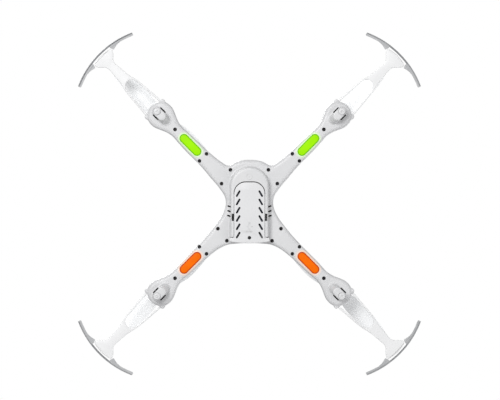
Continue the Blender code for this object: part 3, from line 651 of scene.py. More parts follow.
# %% Cut the fine openings
SIDE_VENT_TURN = math.radians(-20)
SLIT_X, SLIT_Y = mm(118.3, 4.7)
PRONG_Y, PRONG_HALF = mm(9.2, 1.25)
MARK_PLACE = (0, -25 * MM)
RECESS = ((0, 24), (0.95, 24), (0.95, 16.4), (1.72, 16.4), (1.72, 12.3), (2.05, 11.9), (2.05, 8), (0, 8))
tools = at_screws(lambda place: turned("recess", RECESS, place, 24))
tools += on_every_arm([drill("shaft_bore", (ROTOR_X, 0), 1.12 * MM, 14.2 * MM, 24 * MM, 20),
                       drill("motor_bore", (MOTOR_X, 0), 3.55 * MM, 1.6 * MM, 24 * MM, 28),
                       turned("foot_dimple", ((0, 0.9), (0.7, 0.7), (1.15, -0.2), (1.15, -1), (0, -1)),
                              (MOTOR_X, 0), 20),
                       turned("foot_groove", ((3.1, 1.9), (3.5, 1.9), (3.7, 0.6), (3.1, 0.6)), (MOTOR_X, 0),
                              32, True)])
for k in range(3):
    vent_place = ((18.8 + 0.15 * k) * MM, (2.3 + 4.4 * k) * MM)
    tools += both_sides([slot_cutter("side_vent", vent_place, 3.5 * MM, 1.5 * MM, SIDE_VENT_TURN,
                                     3.6 * MM, 14.6 * MM)])
combine(lower, "DIFFERENCE", tools)

slits = on_every_arm([slot_cutter("slit", (SLIT_X, SLIT_Y * side), 7.1 * MM, 1.45 * MM, 0.0, 8 * MM,
                                  15 * MM)
                      for side in (1, -1)])
sockets = on_every_arm([box("socket", (121.5 * MM, PRONG_Y * side - PRONG_HALF, guard_low.z - 0.2 * MM),
                            (135 * MM, PRONG_Y * side + PRONG_HALF, guard_high.z + 0.2 * MM))
                        for side in (1, -1)])
combine(lower, "DIFFERENCE", slits + sockets)

COVER_FACE = 11.75 * MM
light_in, light_out = LIGHT_X - LIGHT_SPAN / 2, LIGHT_X + LIGHT_SPAN / 2
window = fuse([plate("window", pill_outline(light_in, light_out, LIGHT_HALF + 0.2 * MM), 10 * MM, 14 * MM),
               plate("seat", pill_outline(light_in - 0.5 * MM, light_out + 0.5 * MM, 4.85 * MM), 13.35 * MM,
                     15.4 * MM)])
mark = turned("mark", ((2.35, 3.3), (2.8, 3.3), (2.8, 2), (2.35, 2)), MARK_PLACE, 40, closed=True)
dot = turned("dot", ((0, 3.3), (0.6, 3.3), (0.6, 2), (0, 2)), MARK_PLACE, 20)
combine(lower, "DIFFERENCE", on_every_arm([window]) + [mark, dot])
shade(lower, 50)
print("lower shell:", triangles(lower), "triangles")

# %% [markdown]
# ## The upper shell
#
# The top half is moulded in the same way: the same outline with a rounded roof, a long dome over
# the electronics and a collar round each propeller shaft. It is softened as one form, cut flat at
# the parting, hollowed, and bored for the bearings, the screws and the button.

# %% Outer form of the upper shell
DOME_CENTRE = Vector((0, -1.5 * MM, 25.5 * MM))
DOME_HALF = Vector((20.5 * MM, 37.5 * MM, CANOPY_TOP - 25.5 * MM))


def dome(name, grow, segments=72, rings=40):
    bpy.ops.object.select_all(action="DESELECT")
    bpy.ops.mesh.primitive_uv_sphere_add(segments=segments, ring_count=rings, radius=1, location=DOME_CENTRE)
    obj = made(name)
    obj.scale = DOME_HALF + Vector((grow, grow, grow))
    settle(obj)
    return keep_side(obj, 24 * MM, upper=True)


upper = plate("upper_shell_skin", BODY, 14 * MM, ARM_ROOF)
round_rim(upper, ARM_ROOF, EDGE_ROUND, 5)
combine(upper, "UNION", [dome("canopy", 0)])
collar = turned("collar", ((0, 33.1), (2.7, 33.1), (3.3, 32.6), (5.9, 29.2), (5.9, 27), (0, 27)),
                (ROTOR_X, 0), 40)
motor_cap = turned("motor_cap", ((0, 30.1), (3.2, 30.1), (4.4, 29.4), (4.6, 27), (0, 27)),
                   (MOTOR_X + 1.6 * MM, 0), 36)
combine(upper, "UNION", on_every_arm([collar]))
combine(upper, "UNION", on_every_arm([motor_cap]))
soften(upper, SKIN_VOXEL, 14)
keep_side(upper, UPPER_FLOOR, upper=True)
apply_modifier(upper, "DECIMATE", ratio=SKIN_SHARE)

# %% Inside, bores and grooves of the upper shell
inside = plate("inside", inset(BODY, WALL), 10 * MM, ARM_ROOF - WALL)
round_rim(inside, ARM_ROOF - WALL, 2.2 * MM, 2)
combine(inside, "UNION", [dome("dome_inside", -1.5 * MM, 40, 20)])
combine(upper, "DIFFERENCE", [inside])
boss_floor = UPPER_FLOOR + 0.1 * MM
combine(upper, "UNION", at_screws(lambda place: drill("boss", place, 2.3 * MM, boss_floor, 28.2 * MM, 20)))
bores = at_screws(lambda place: drill("pilot", place, 0.95 * MM, 20 * MM, 25.6 * MM, 14))
bores += on_every_arm([turned("bearing", ((0, 36), (2.15, 36), (2.15, 29.2), (1.3, 29.2), (1.3, 26), (0, 26)),
                              (ROTOR_X, 0), 24)])
button_low, button_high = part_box("power_button")
BUTTON_PLACE = ((button_low.x + button_high.x) / 2, (button_low.y + button_high.y) / 2)
bores.append(turned("button_hole", ((0, 55), (6.6, 55), (5.4, 44.6), (4.25, 44.2), (4.25, 36), (0, 36)),
                    BUTTON_PLACE, 48))
combine(upper, "DIFFERENCE", bores)
GROOVE_Z = 35.5 * MM
shrink = math.sqrt(1 - ((GROOVE_Z - DOME_CENTRE.z) / DOME_HALF.z) ** 2)
groove = ring_tool("groove", (0, DOME_CENTRE.y, GROOVE_Z), DOME_HALF.x * shrink, DOME_HALF.y * shrink,
                   0.42 * MM)
slots = []
for k in range(4):
    slots += both_sides([slot_cutter("cooling_slot", (4.6 * MM, (22.2 + 2.1 * k) * MM), (6.4 - 0.7 * k) * MM,
                                     1.0 * MM,
                                     math.radians(-14), 30 * MM, 55 * MM)])
combine(upper, "DIFFERENCE", [groove] + slots)
shade(upper, 50)
print("upper shell:", triangles(upper), "triangles")

# %% [markdown]
# ## The battery door
#
# The door is a thin plate with a round front that lies flush in the belly. Two tongues hold it on
# the rails, its wide tail closes the rear of the battery box, and one screw keeps it shut. Slots
# at a slant let the battery's heat out. A plain arrow shows which way it slides off.

# %% Battery door
DOOR_ROOF = BELLY_FLOOR + 1.4 * MM
DOOR_TAIL = door_high.y
TAIL_HALF = door_high.x


def tail_outline(steps=16):
    rear = [(TAIL_HALF * (1 - 2 * k / steps), DOOR_TAIL - 1.6 * MM * (1 - 2 * k / steps) ** 2)
            for k in range(steps + 1)]
    return [(TAIL_HALF, BELLY_END + 0.3 * MM)] + rear + [(-TAIL_HALF, BELLY_END + 0.3 * MM)]


door = plate("battery_door_skin", arch_outline(DOOR_HALF, DOOR_ARCH, DOOR_FRONT, 35.4 * MM, 20), BELLY_FLOOR,
             DOOR_ROOF)
round_rim(door, BELLY_FLOOR, 0.3 * MM, 3)
tail = plate("tail", tail_outline(), BELLY_FLOOR, door_high.z)
round_rim(tail, BELLY_FLOOR, 0.7 * MM, 4)
tongues = box("tongues", (-15.2 * MM, -9.0 * MM, DOOR_ROOF - 0.1 * MM),
              (15.2 * MM, 31.2 * MM, DOOR_ROOF + 1.1 * MM))
fuse([door, tail, tongues])
pocket = box("pocket", mm(-17, 20, 5.6), mm(17, 34.6, 13), 0.4 * MM, 2)
combine(door, "DIFFERENCE", [pocket])
door_boss = drill("door_boss", (0, DOOR_SCREW_Y), 2.9 * MM, 4 * MM, 8.2 * MM, 24)
combine(door, "UNION", [door_boss])
VENT_X, VENT_LENGTH, VENT_WIDTH = mm(10.45, 6.9, 1.85)
VENT_TURN = math.radians(60)
VENT_Y = [(-9.5 + 7.68 * k) * MM for k in range(6)]
vents = both_sides([slot_cutter("vent", (VENT_X, y), VENT_LENGTH, VENT_WIDTH, VENT_TURN, 2 * MM,
                                7 * MM, 4)
                    for y in VENT_Y])
screw_bore = turned("screw_bore", ((0, 9), (1.1, 9), (1.1, 6.6), (1.6, 6.6), (1.6, 3.3), (1.85, 3.0),
                                   (1.85, 2), (0, 2)),
                    (0, DOOR_SCREW_Y), 24)
ARROW = ((0.9, 17.2), (0.9, 20.8), (3.0, 20.8), (0, 24.4), (-3.0, 20.8), (-0.9, 20.8), (-0.9, 17.2))
arrow = plate("arrow", [mm(*corner) for corner in ARROW], 2 * MM, 3.5 * MM)
arrow_bar = box("arrow_bar", mm(-3.0, 25.6, 2), mm(3.0, 26.4, 3.5))
notches = both_sides([box("notch", (14.12 * MM, 8.9 * MM, DOOR_ROOF - 0.15 * MM), mm(15.6, 16.0, 5.6))])
combine(door, "DIFFERENCE", notches)
combine(door, "DIFFERENCE", vents + [screw_bore, arrow, arrow_bar])
shade(door)
print("battery door:", triangles(door), "triangles")

# %% [markdown]
# ## Screws
#
# One kind of self-tapping screw holds everything. Its pan head has a cross recess, which is cut
# with two crossed blades, and a coarse thread is suggested by a stepped shank. One is made and
# then copied to every post, each copy with its own mesh.

# %% One screw
def cross_screw(name, head_z, tip_z):
    """A pan-head screw on the Z axis, its head at the bottom; heights in mm."""
    shank = []
    z = tip_z - 0.8
    while z > head_z + 2.4:
        shank += [(0.85, z), (0.62, z - 0.35)]
        z -= 0.7
    profile = [(0, tip_z), (0.3, tip_z)] + shank + [(0.7, head_z + 1.4), (1.4, head_z + 1.2),
                                                    (1.4, head_z + 0.4),
                                                    (1.15, head_z + 0.1), (0.6, head_z), (0, head_z)]
    screw = turned(name, profile, (0, 0), 20)
    blades = []
    for turn in (0, 1):
        size = (0.85, 0.17) if turn else (0.17, 0.85)
        low = (-size[0] * MM, -size[1] * MM, (head_z - 0.2) * MM)
        high = (size[0] * MM, size[1] * MM, (head_z + 0.75) * MM)
        blades.append(box("blade", low, high))
    return combine(screw, "DIFFERENCE", [fuse(blades)])


screws = {}
master = cross_screw("body_screw", 14.9, 24.8)
for name, (x, y) in SCREW_PLACES.items():
    for side, sign in (("left", 1), ("right", -1)):
        screws[f"{name}_{side}_screw"] = (x * sign, y)
for arm, degrees in ARMS.items():
    turn = Matrix.Rotation(math.radians(degrees), 2)
    for name, place in ARM_SCREWS.items():
        screws[f"{arm}_{name}_screw"] = turn @ Vector(place)
screw_pieces = {}
for count, (name, place) in enumerate(screws.items()):
    copy = duplicate(master, name + "_head")
    copy.data.transform(Matrix.Translation((*place, 0)) @ upright_turn(37 * count))
    screw_pieces[name] = shade(copy)
bpy.data.objects.remove(master, do_unlink=True)
door_screw = cross_screw("door_screw_head", 4.7, 15.4)
door_screw.data.transform(Matrix.Translation((0, DOOR_SCREW_Y, 0)) @ upright_turn(20))
screw_pieces["door_screw"] = shade(door_screw)
print("screws:", len(screw_pieces))

# %% [markdown]
# ## Light covers
#
# Each arm has a pill-shaped cover over a small lamp: green at the front, orange at the rear, so
# that a pilot can tell which way the drone points. The cover is a shallow dome with a flange that
# holds it in from inside. A UV map that runs along the pill in real units lets the finish find
# the rim, whichever way the arm points.

# %% One light cover, copied to the arms
def light_cover():
    lens = plate("light_cover", pill_outline(light_in, light_out, LIGHT_HALF - 0.02 * MM, 16), COVER_FACE,
                 14.0 * MM)
    round_rim(lens, COVER_FACE, 1.1 * MM, 6)
    flange = plate("flange", pill_outline(light_in - 0.4 * MM, light_out + 0.4 * MM, 4.6 * MM), 13.5 * MM,
                   14.4 * MM)
    combine(lens, "UNION", [flange])
    pocket = plate("pocket", pill_outline(light_in, light_out, LIGHT_HALF - 0.9 * MM), 12.7 * MM, 15 * MM)
    return combine(lens, "DIFFERENCE", [pocket])


def map_along_arm(obj):
    """A UV map in arm millimetres about the light's middle: u along the arm and v across it."""
    layer = obj.data.uv_layers.new(name="along_arm")
    for loop in obj.data.loops:
        place = obj.data.vertices[loop.vertex_index].co
        layer.data[loop.index].uv = ((place.x - LIGHT_X) / MM, place.y / MM)
    return obj


covers = {}
master = shade(map_along_arm(light_cover()))
for arm, degrees in ARMS.items():
    copy = duplicate(master, f"{arm}_light_cover_skin")
    copy.data.transform(upright_turn(degrees))
    covers[arm] = copy
bpy.data.objects.remove(master, do_unlink=True)
print("light cover:", triangles(covers["front_left"]), "triangles")

# %% [markdown]
# ## Guards and bumpers
#
# A guard is a flat fork: two prongs plug into the pod, and the stem opens into a wide head. The
# grey bumper clips round that head. Its outer wall stands taller than its flange, so it is made
# as two bands, with a gusset on each side that hooks behind the head.

# %% Guard
GUARD_POINTS = ((194.8, 0), (194.3, 5), (193.1, 10.2), (190.4, 10.6), (187.2, 8.2), (184.5, 5.4), (181, 4.1),
                (174, 4.5), (166, 5.2), (161, 6.2), (155, 7.6), (145, 8.7), (135, 9.5), (127.4, 10.1))
WINDOW_POINTS = ((160.7, 0), (160.0, 2.6), (158.2, 4.7), (155, 6.1), (145, 6.85), (135, 7.6), (127.4, 8.1))


def guard_outline(steps=5):
    """Down one side, round the window and back up the other side, as one loop."""
    outer = [p * MM for p in smooth(GUARD_POINTS, steps)]
    inner = [p * MM for p in smooth(WINDOW_POINTS, steps)]
    side_run = outer + [Vector(mm(122.5, 10.15)), Vector(mm(122.5, 8.45))] + inner[::-1]
    return side_run + [Vector((p.x, -p.y)) for p in reversed(side_run[1:-1])]


def arc(radius, start, end, count):
    """Points about the propeller's axis; angles in degrees from the arm."""
    angles = [math.radians(start + (end - start) * k / count) for k in range(count + 1)]
    return [(ROTOR_X + radius * math.cos(a), radius * math.sin(a)) for a in angles]


guard = plate("guard", guard_outline(), guard_low.z, guard_high.z)
for height in (guard_low.z, guard_high.z):
    round_rim(guard, height, 0.7 * MM, 3)
groove_arc = arc(81.3 * MM, -7.3, 7.3, 20)
groove_back = arc(81.9 * MM, 7.3, -7.3, 20)
head_groove = plate("head_groove", groove_arc + groove_back, guard_low.z - 1 * MM, guard_low.z + 0.7 * MM)
combine(guard, "DIFFERENCE", [head_groove])
recalculate(guard)
shade(guard, 40)
print("guard:", triangles(guard), "triangles")

# %% Bumper
RIM_OUT = 85.45 * MM
RIM_IN = 84.7 * MM
HEAD_IN = 84.1 * MM
FLANGE_IN = 82.6 * MM
END_ANGLE = 24.2
GUSSET_ANGLE = 14.2
HEAD_ANGLE = 7.6


def band(name, inner, outer, end, floor_z, roof_z, count=64):
    """An arc-shaped band with round ends."""
    middle, half = (inner + outer) / 2, (outer - inner) / 2
    outline = arc(outer, -end, end, count)
    for side in (1, -1):
        turn = math.radians(end * side)
        centre = Vector((ROTOR_X + middle * math.cos(turn), middle * math.sin(turn)))
        for k in range(1, 8):
            angle = turn + math.radians(180 * k / 8) if side > 0 else turn + math.pi + math.radians(180 * k / 8)
            outline.append(tuple(centre + Vector((math.cos(angle), math.sin(angle))) * half))
        if side > 0:
            outline += arc(inner, end, -end, count)
    return plate(name, outline, floor_z, roof_z)


def gusset(side):
    """A web that widens from the flange into a hook behind the guard's head."""
    outline = arc(RIM_IN + 0.3 * MM, GUSSET_ANGLE * side, HEAD_ANGLE * side, 12)
    hook = ((194.0, 10.95), (192.4, 11.4), (191.0, 11.9), (190.75, 12.6), (191.1, 13.9), (191.6, 16.2),
            (191.9, 18.8),
            (191.6, 21.0))
    outline += [mm(x, y * side) for x, y in hook]
    return plate("gusset", outline, guard_low.z + 0.1 * MM, guard_high.z - 0.1 * MM)


rim = band("bumper", RIM_IN, RIM_OUT, END_ANGLE, bumper_low.z, bumper_high.z)
for height in (bumper_low.z, bumper_high.z):
    round_rim(rim, height, 0.3 * MM, 2)
flange = band("flange", FLANGE_IN, RIM_IN + 0.4 * MM, END_ANGLE - 0.4, guard_low.z - 0.3 * MM, guard_high.z)
gap_outline = arc(HEAD_IN, -HEAD_ANGLE, HEAD_ANGLE, 20) + arc(80 * MM, HEAD_ANGLE, -HEAD_ANGLE, 20)
head_gap = plate("head_gap", gap_outline, 14 * MM, 20 * MM)
combine(flange, "DIFFERENCE", [head_gap])
head_band = plate("head_band", arc(HEAD_IN, -7.9, 7.9, 24) + arc(RIM_IN + 0.3 * MM, 7.9, -7.9, 24),
                  bumper_low.z + 0.35 * MM, bumper_high.z - 0.35 * MM)
bumper = fuse([rim, flange, gusset(1), gusset(-1), head_band])
shade(bumper, 40)
print("bumper:", triangles(bumper), "triangles")

# %% [markdown]
# ## Propellers
#
# A blade is a loft: a thin curved section is repeated along the blade, and each repeat is wider or
# narrower and less twisted towards the tip. Building the loft from rings of points gives full
# control over the twist, which no single operator does. Two blades meet in a hub, and half of
# the propellers are mirrored, because they turn the other way.

# %% Blade and hub
HUB_FLOOR, HUB_TOP = 34.4, 41.9
STATIONS = ((2.6, 6.0, 27, 1.8), (7, 8.6, 27, 1.7), (14, 13.0, 24, 1.5), (24, 16.4, 19, 1.3),
            (36, 16.0, 15, 1.1),
            (48, 13.6, 12, 0.95), (58, 10.8, 10, 0.8), (63.5, 8.2, 9, 0.7), (65.7, 5.6, 9, 0.65),
            (66.4, 3.0, 9, 0.6))
SECTION = ((-0.5, 0.04), (-0.44, 0.3), (-0.3, 0.52), (-0.1, 0.66), (0.12, 0.64), (0.32, 0.44), (0.46, 0.18),
           (0.5, 0.0),
           (0.4, -0.12), (0.2, -0.28), (-0.05, -0.36), (-0.28, -0.32), (-0.44, -0.16))


def blade(steps=5):
    """One blade along +X."""
    stations = [Vector(station) for station in STATIONS]
    rows = spline([stations[0]] + stations + [stations[-1]], steps)
    points, faces = [], []
    for reach, chord, pitch, thickness in rows:
        tilt = Matrix.Rotation(math.radians(pitch), 3, "X")
        for along, up in SECTION:
            place = tilt @ Vector((0, along * chord, up * thickness))
            points.append((reach * MM, (place.y - 0.06 * chord) * MM, (38.0 + place.z) * MM))
    size = len(SECTION)
    for row in range(len(rows) - 1):
        for k in range(size):
            a, b = row * size + k, row * size + (k + 1) % size
            faces.append((a, b, b + size, a + size))
    faces.append(tuple(range(size)))
    faces.append(tuple(range(len(points) - size, len(points))))
    return recalculate(mesh_object("blade", points, [], faces))


def propeller():
    hub = turned("propeller", ((0.75, HUB_TOP), (2.9, HUB_TOP), (3.7, HUB_TOP - 0.35), (4.15, HUB_TOP - 1.1),
                               (4.15, HUB_FLOOR + 0.4), (3.8, HUB_FLOOR), (1.2, HUB_FLOOR), (1.2, 41.2),
                               (0.75, 41.2)),
                 (0, 0), 48, closed=True)
    one = blade()
    other = duplicate(one, "blade")
    other.data.transform(Matrix.Rotation(math.pi, 4, "Z"))
    return combine(hub, "UNION", [one, other])


propeller_master = propeller()
print("propeller:", triangles(propeller_master), "triangles")

# %% Copies on the arms
guards, bumpers, propellers = {}, {}, {}
for arm, degrees in ARMS.items():
    turn = upright_turn(degrees)
    for pieces, master in ((guards, guard), (bumpers, bumper), (propellers, propeller_master)):
        copy = duplicate(master, f"{arm}_{master.name}_skin")
        if master is propeller_master:
            if arm in ("front_left", "rear_right"):
                copy.data.transform(Matrix.Scale(-1, 4, (0, 1, 0)))
            copy.data.transform(Matrix.Translation((ROTOR_X, 0, 0)))
        copy.data.transform(turn)
        if master is propeller_master:
            recalculate(copy)
            shade(copy, 40)
        pieces[arm] = copy
for master in (guard, bumper, propeller_master):
    bpy.data.objects.remove(master, do_unlink=True)
print("arms fitted:", list(guards))

# %% [markdown]
# ## The power button
#
# A grey cap stands up through the canopy. Its plunger reaches a switch on the circuit board. The
# top is slightly dished for a fingertip and carries the usual on-off sign: a broken ring and a bar.

# %% Power button
BUTTON_REST = 43.6
button = turned("power_button_skin", [(r, BUTTON_REST + z) for r, z in (
    (0, 2.25), (2.2, 2.35), (3.3, 2.58), (3.7, 2.45), (3.98, 1.9), (3.98, -2.5), (5.0, -2.5), (5.0, -3.5),
                                                                        (1.4, -3.5),
    (1.4, -18.5), (0, -18.5))], BUTTON_PLACE, 48)
sign_ring = turned("sign_ring", [(r, BUTTON_REST + z)
                                 for r, z in ((1.45, 3), (1.8, 3), (1.8, 2.12), (1.45, 2.12))],
                   BUTTON_PLACE, 40, closed=True)
sign_low = (BUTTON_PLACE[0] - 0.5 * MM, BUTTON_PLACE[1] + 0.9 * MM, (BUTTON_REST + 2.0) * MM)
sign_high = (BUTTON_PLACE[0] + 0.5 * MM, BUTTON_PLACE[1] + 2.2 * MM, (BUTTON_REST + 3.1) * MM)
combine(sign_ring, "DIFFERENCE", [box("sign_gap", sign_low, sign_high)])
bar_low = (BUTTON_PLACE[0] - 0.17 * MM, BUTTON_PLACE[1] + 0.5 * MM, (BUTTON_REST + 2.08) * MM)
bar_high = (BUTTON_PLACE[0] + 0.17 * MM, BUTTON_PLACE[1] + 2.0 * MM, (BUTTON_REST + 3.0) * MM)
combine(button, "DIFFERENCE", [sign_ring, box("sign_bar", bar_low, bar_high)])
shade(button, 40)
print("power button:", triangles(button), "triangles")

# %% [markdown]
# ## Effects that several finishes share
#
# Moulded plastic is never one flat colour. The mould leaves a fine grain, the colour drifts a
# little, handling leaves faint scuffs, and inner corners are darkened, partly as dust and partly as
# painted shade where surfaces meet. Each effect is a node group, built once and placed in every material with
# its own values.

# %% Node helpers
BLACK = (0.0, 0.0, 0.0, 1.0)


def open_group(name, inputs, outputs):
    """A shader group and its two ends. A colour socket is marked by a tuple and a plain one by a number."""
    group = bpy.data.node_groups.new(name, "ShaderNodeTree")
    for in_out, sockets in (("INPUT", inputs), ("OUTPUT", outputs)):
        for label, value in sockets.items():
            kind = "NodeSocketColor" if isinstance(value, tuple) else "NodeSocketFloat"
            group.interface.new_socket(label, in_out=in_out, socket_type=kind).default_value = value
    return group, group.nodes.new("NodeGroupInput"), group.nodes.new("NodeGroupOutput")


def noise(tree, source, scale, detail, stretch=None):
    """A noise value on the given coordinates, stretched along an axis if wanted."""
    node = tree.nodes.new("ShaderNodeTexNoise")
    node.inputs["Scale"].default_value = scale
    node.inputs["Detail"].default_value = detail
    if stretch:
        mapping = tree.nodes.new("ShaderNodeMapping")
        mapping.inputs["Scale"].default_value = stretch[0]
        mapping.inputs["Rotation"].default_value = stretch[1]
        tree.links.new(source, mapping.inputs["Vector"])
        source = mapping.outputs["Vector"]
    tree.links.new(source, node.inputs["Vector"])
    return node.outputs["Fac"]


def remap(tree, value, low, high, to_low=0.0, to_high=1.0):
    node = tree.nodes.new("ShaderNodeMapRange")
    tree.links.new(value, node.inputs["Value"])
    for label, number in (("From Min", low), ("From Max", high), ("To Min", to_low), ("To Max", to_high)):
        node.inputs[label].default_value = number
    return node.outputs["Result"]


def math_node(tree, operation, a, b):
    node = tree.nodes.new("ShaderNodeMath")
    node.operation = operation
    for socket, value in zip(node.inputs, (a, b)):
        if isinstance(value, (int, float)):
            socket.default_value = value
        else:
            tree.links.new(value, socket)
    return node.outputs[0]


def times(tree, a, b):
    return math_node(tree, "MULTIPLY", a, b)


def plus(tree, a, b):
    return math_node(tree, "ADD", a, b)


def minus(tree, a, b):
    return math_node(tree, "SUBTRACT", a, b)


def here(tree):
    """The point being painted, in the object's own coordinates."""
    return tree.nodes.new("ShaderNodeTexCoord").outputs["Object"]


def split_place(tree, vector):
    node = tree.nodes.new("ShaderNodeSeparateXYZ")
    tree.links.new(vector, node.inputs[0])
    return node.outputs


def pill_distance(tree, run, across, half_span):
    """How far a point is from a pill's middle line, from its run along the pill and its place across."""
    past = math_node(tree, "MAXIMUM", minus(tree, run, half_span), 0.0)
    return math_node(tree, "SQRT", plus(tree, times(tree, past, past), times(tree, across, across)), 0.0)


def mix_colour(tree, factor, a, b, kind="MIX"):
    node = tree.nodes.new("ShaderNodeMix")
    node.data_type = "RGBA"
    node.blend_type = kind
    for index, value in ((0, factor), (6, a), (7, b)):
        if isinstance(value, (int, float, tuple)):
            node.inputs[index].default_value = value
        else:
            tree.links.new(value, node.inputs[index])
    return node.outputs[2]


# %% Group: moulded skin
def build_moulded_skin():
    """Colour drift, mould grain and faint scuffs."""
    group, start, end = open_group(
        "moulded skin",
        {"Colour": (0.8, 0.8, 0.8, 1), "Drift": 0.04, "Scuff Colour": (0.6, 0.6, 0.6, 1), "Scuffs": 0.3,
         "Roughness": 0.4, "Grain": 0.5},
        {"Colour": BLACK, "Roughness": 0.0, "Height": 0.0})
    place = here(group)
    cloudy = remap(group, noise(group, place, 55, 3), 0.3, 0.7)
    drifted = times(group, cloudy, start.outputs["Drift"])
    darker = mix_colour(group, 1.0, start.outputs["Colour"], (0.72, 0.73, 0.76, 1), "MULTIPLY")
    colour = mix_colour(group, drifted, start.outputs["Colour"], darker)
    long_marks = noise(group, place, 22, 2, ((4, 60, 60), (0.3, 0.2, 0.7)))
    cross_marks = noise(group, place, 18, 2, ((70, 5, 70), (0.1, 0.5, 0.4)))
    strong = math_node(group, "MAXIMUM", remap(group, long_marks, 0.66, 0.74),
                       remap(group, cross_marks, 0.68, 0.75))
    patches = remap(group, noise(group, place, 30, 2), 0.45, 0.65)
    scuffs = times(group, times(group, strong, patches), start.outputs["Scuffs"])
    group.links.new(mix_colour(group, scuffs, colour, start.outputs["Scuff Colour"]), end.inputs["Colour"])
    uneven = remap(group, noise(group, place, 140, 4), 0.25, 0.75, -0.07, 0.07)
    rough = plus(group, start.outputs["Roughness"], uneven)
    rougher = plus(group, rough, times(group, scuffs, 0.25))
    group.links.new(rougher, end.inputs["Roughness"])
    fine = times(group, noise(group, place, 2600, 2), start.outputs["Grain"])
    waves = times(group, noise(group, place, 90, 2), 0.6)
    cut_in = times(group, scuffs, -0.5)
    group.links.new(plus(group, plus(group, fine, waves), cut_in), end.inputs["Height"])
    return group


# %% Group: edges and hollows
def build_edges_and_hollows():
    """Masks for rubbed outer edges and for inner corners, whose darkening is partly dust and partly painted
    shade, broken up by noise.
    """
    group, start, end = open_group(
        "edges and hollows",
        {"Edge Width": 0.05, "Hollow Width": 0.05},
        {"Edges": 0.0, "Dust And Shade": 0.0})
    place = here(group)
    bend = group.nodes.new("ShaderNodeNewGeometry").outputs["Pointiness"]
    broken = remap(group, noise(group, place, 260, 4), 0.4, 0.6)
    over = math_node(group, "DIVIDE", minus(group, bend, 0.51), start.outputs["Edge Width"])
    under = math_node(group, "DIVIDE", minus(group, 0.49, bend), start.outputs["Hollow Width"])
    for label, value in (("Edges", over), ("Dust And Shade", under)):
        clipped = remap(group, value, 0.0, 1.0)
        group.links.new(times(group, clipped, broken), end.inputs[label])
    return group


# %% Group: light spill
def build_light_spill():
    """How close a point is to the nearest light cover, and the colour of that cover's light."""
    group, start, end = open_group(
        "light spill",
        {"Reach": 2 * MM, "Front Colour": (0.6, 1, 0.3, 1), "Rear Colour": (1, 0.6, 0.3, 1)},
        {"Near": 0.0, "Colour": BLACK})
    place = split_place(group, here(group))
    x = math_node(group, "ABSOLUTE", place["X"], 0.0)
    y = math_node(group, "ABSOLUTE", place["Y"], 0.0)
    along = times(group, plus(group, x, y), math.sqrt(0.5))
    across = times(group, minus(group, x, y), math.sqrt(0.5))
    run = math_node(group, "ABSOLUTE", minus(group, along, LIGHT_X), 0.0)
    beyond = minus(group, pill_distance(group, run, across, LIGHT_SPAN / 2), LIGHT_HALF)
    near = remap(group, math_node(group, "DIVIDE", beyond, start.outputs["Reach"]), 0.0, 1.0, 1.0, 0.0)
    below = remap(group, place["Z"], 15 * MM, 17 * MM, 1.0, 0.0)
    group.links.new(times(group, near, below), end.inputs["Near"])
    rear = remap(group, place["Y"], -1 * MM, 1 * MM)
    colour = mix_colour(group, rear, start.outputs["Front Colour"], start.outputs["Rear Colour"])
    group.links.new(colour, end.inputs["Colour"])
    return group


# %% Group: turned metal
def build_turned_metal():
    """Fine marks that run round an upright axis, and a little tarnish."""
    group, start, end = open_group(
        "turned metal",
        {"Colour": (0.6, 0.6, 0.6, 1), "Tarnish": (0.2, 0.18, 0.15, 1), "Amount": 0.3, "Roughness": 0.3},
        {"Colour": BLACK, "Roughness": 0.0, "Height": 0.0})
    place = here(group)
    rings = noise(group, place, 60, 3, ((2, 2, 90), (0, 0, 0)))
    stains = remap(group, noise(group, place, 320, 4), 0.45, 0.7)
    stained = times(group, stains, start.outputs["Amount"])
    group.links.new(mix_colour(group, stained, start.outputs["Colour"], start.outputs["Tarnish"]),
                    end.inputs["Colour"])
    rough = plus(group, start.outputs["Roughness"], remap(group, rings, 0.3, 0.7, -0.08, 0.12))
    group.links.new(plus(group, rough, times(group, stained, 0.3)), end.inputs["Roughness"])
    group.links.new(rings, end.inputs["Height"])
    return group


skin_group = build_moulded_skin()
edge_group = build_edges_and_hollows()
metal_group = build_turned_metal()
spill_group = build_light_spill()
print("groups:", [group.name for group in (skin_group, edge_group, metal_group, spill_group)])


# %% [markdown]
# ## Finishes
#
# A finish starts from the Principled shader. Its plain numbers, such as the clear coat of a gloss
# plastic, are set on the shader itself; what changes over the surface comes from the groups.

# %% Plastic finishes
def new_material(name, rough=0.4, **plain):
    """A material, its tree and its Principled shader, with plain values set by socket name."""
    material = bpy.data.materials.new(name)
    material.use_nodes = True
    tree = material.node_tree
    shader = tree.nodes["Principled BSDF"]
    shader.inputs["Roughness"].default_value = rough
    for label, value in plain.items():
        shader.inputs[label.replace("_", " ")].default_value = value
    return material, tree, shader


def place_group(tree, group, **values):
    node = tree.nodes.new("ShaderNodeGroup")
    node.node_tree = group
    for label, value in values.items():
        node.inputs[label.replace("_", " ")].default_value = value
    return node


def bump(tree, shader, height, distance, strength=0.6):
    node = tree.nodes.new("ShaderNodeBump")
    node.inputs["Distance"].default_value = distance
    node.inputs["Strength"].default_value = strength
    tree.links.new(height, node.inputs["Height"])
    tree.links.new(node.outputs["Normal"], shader.inputs["Normal"])


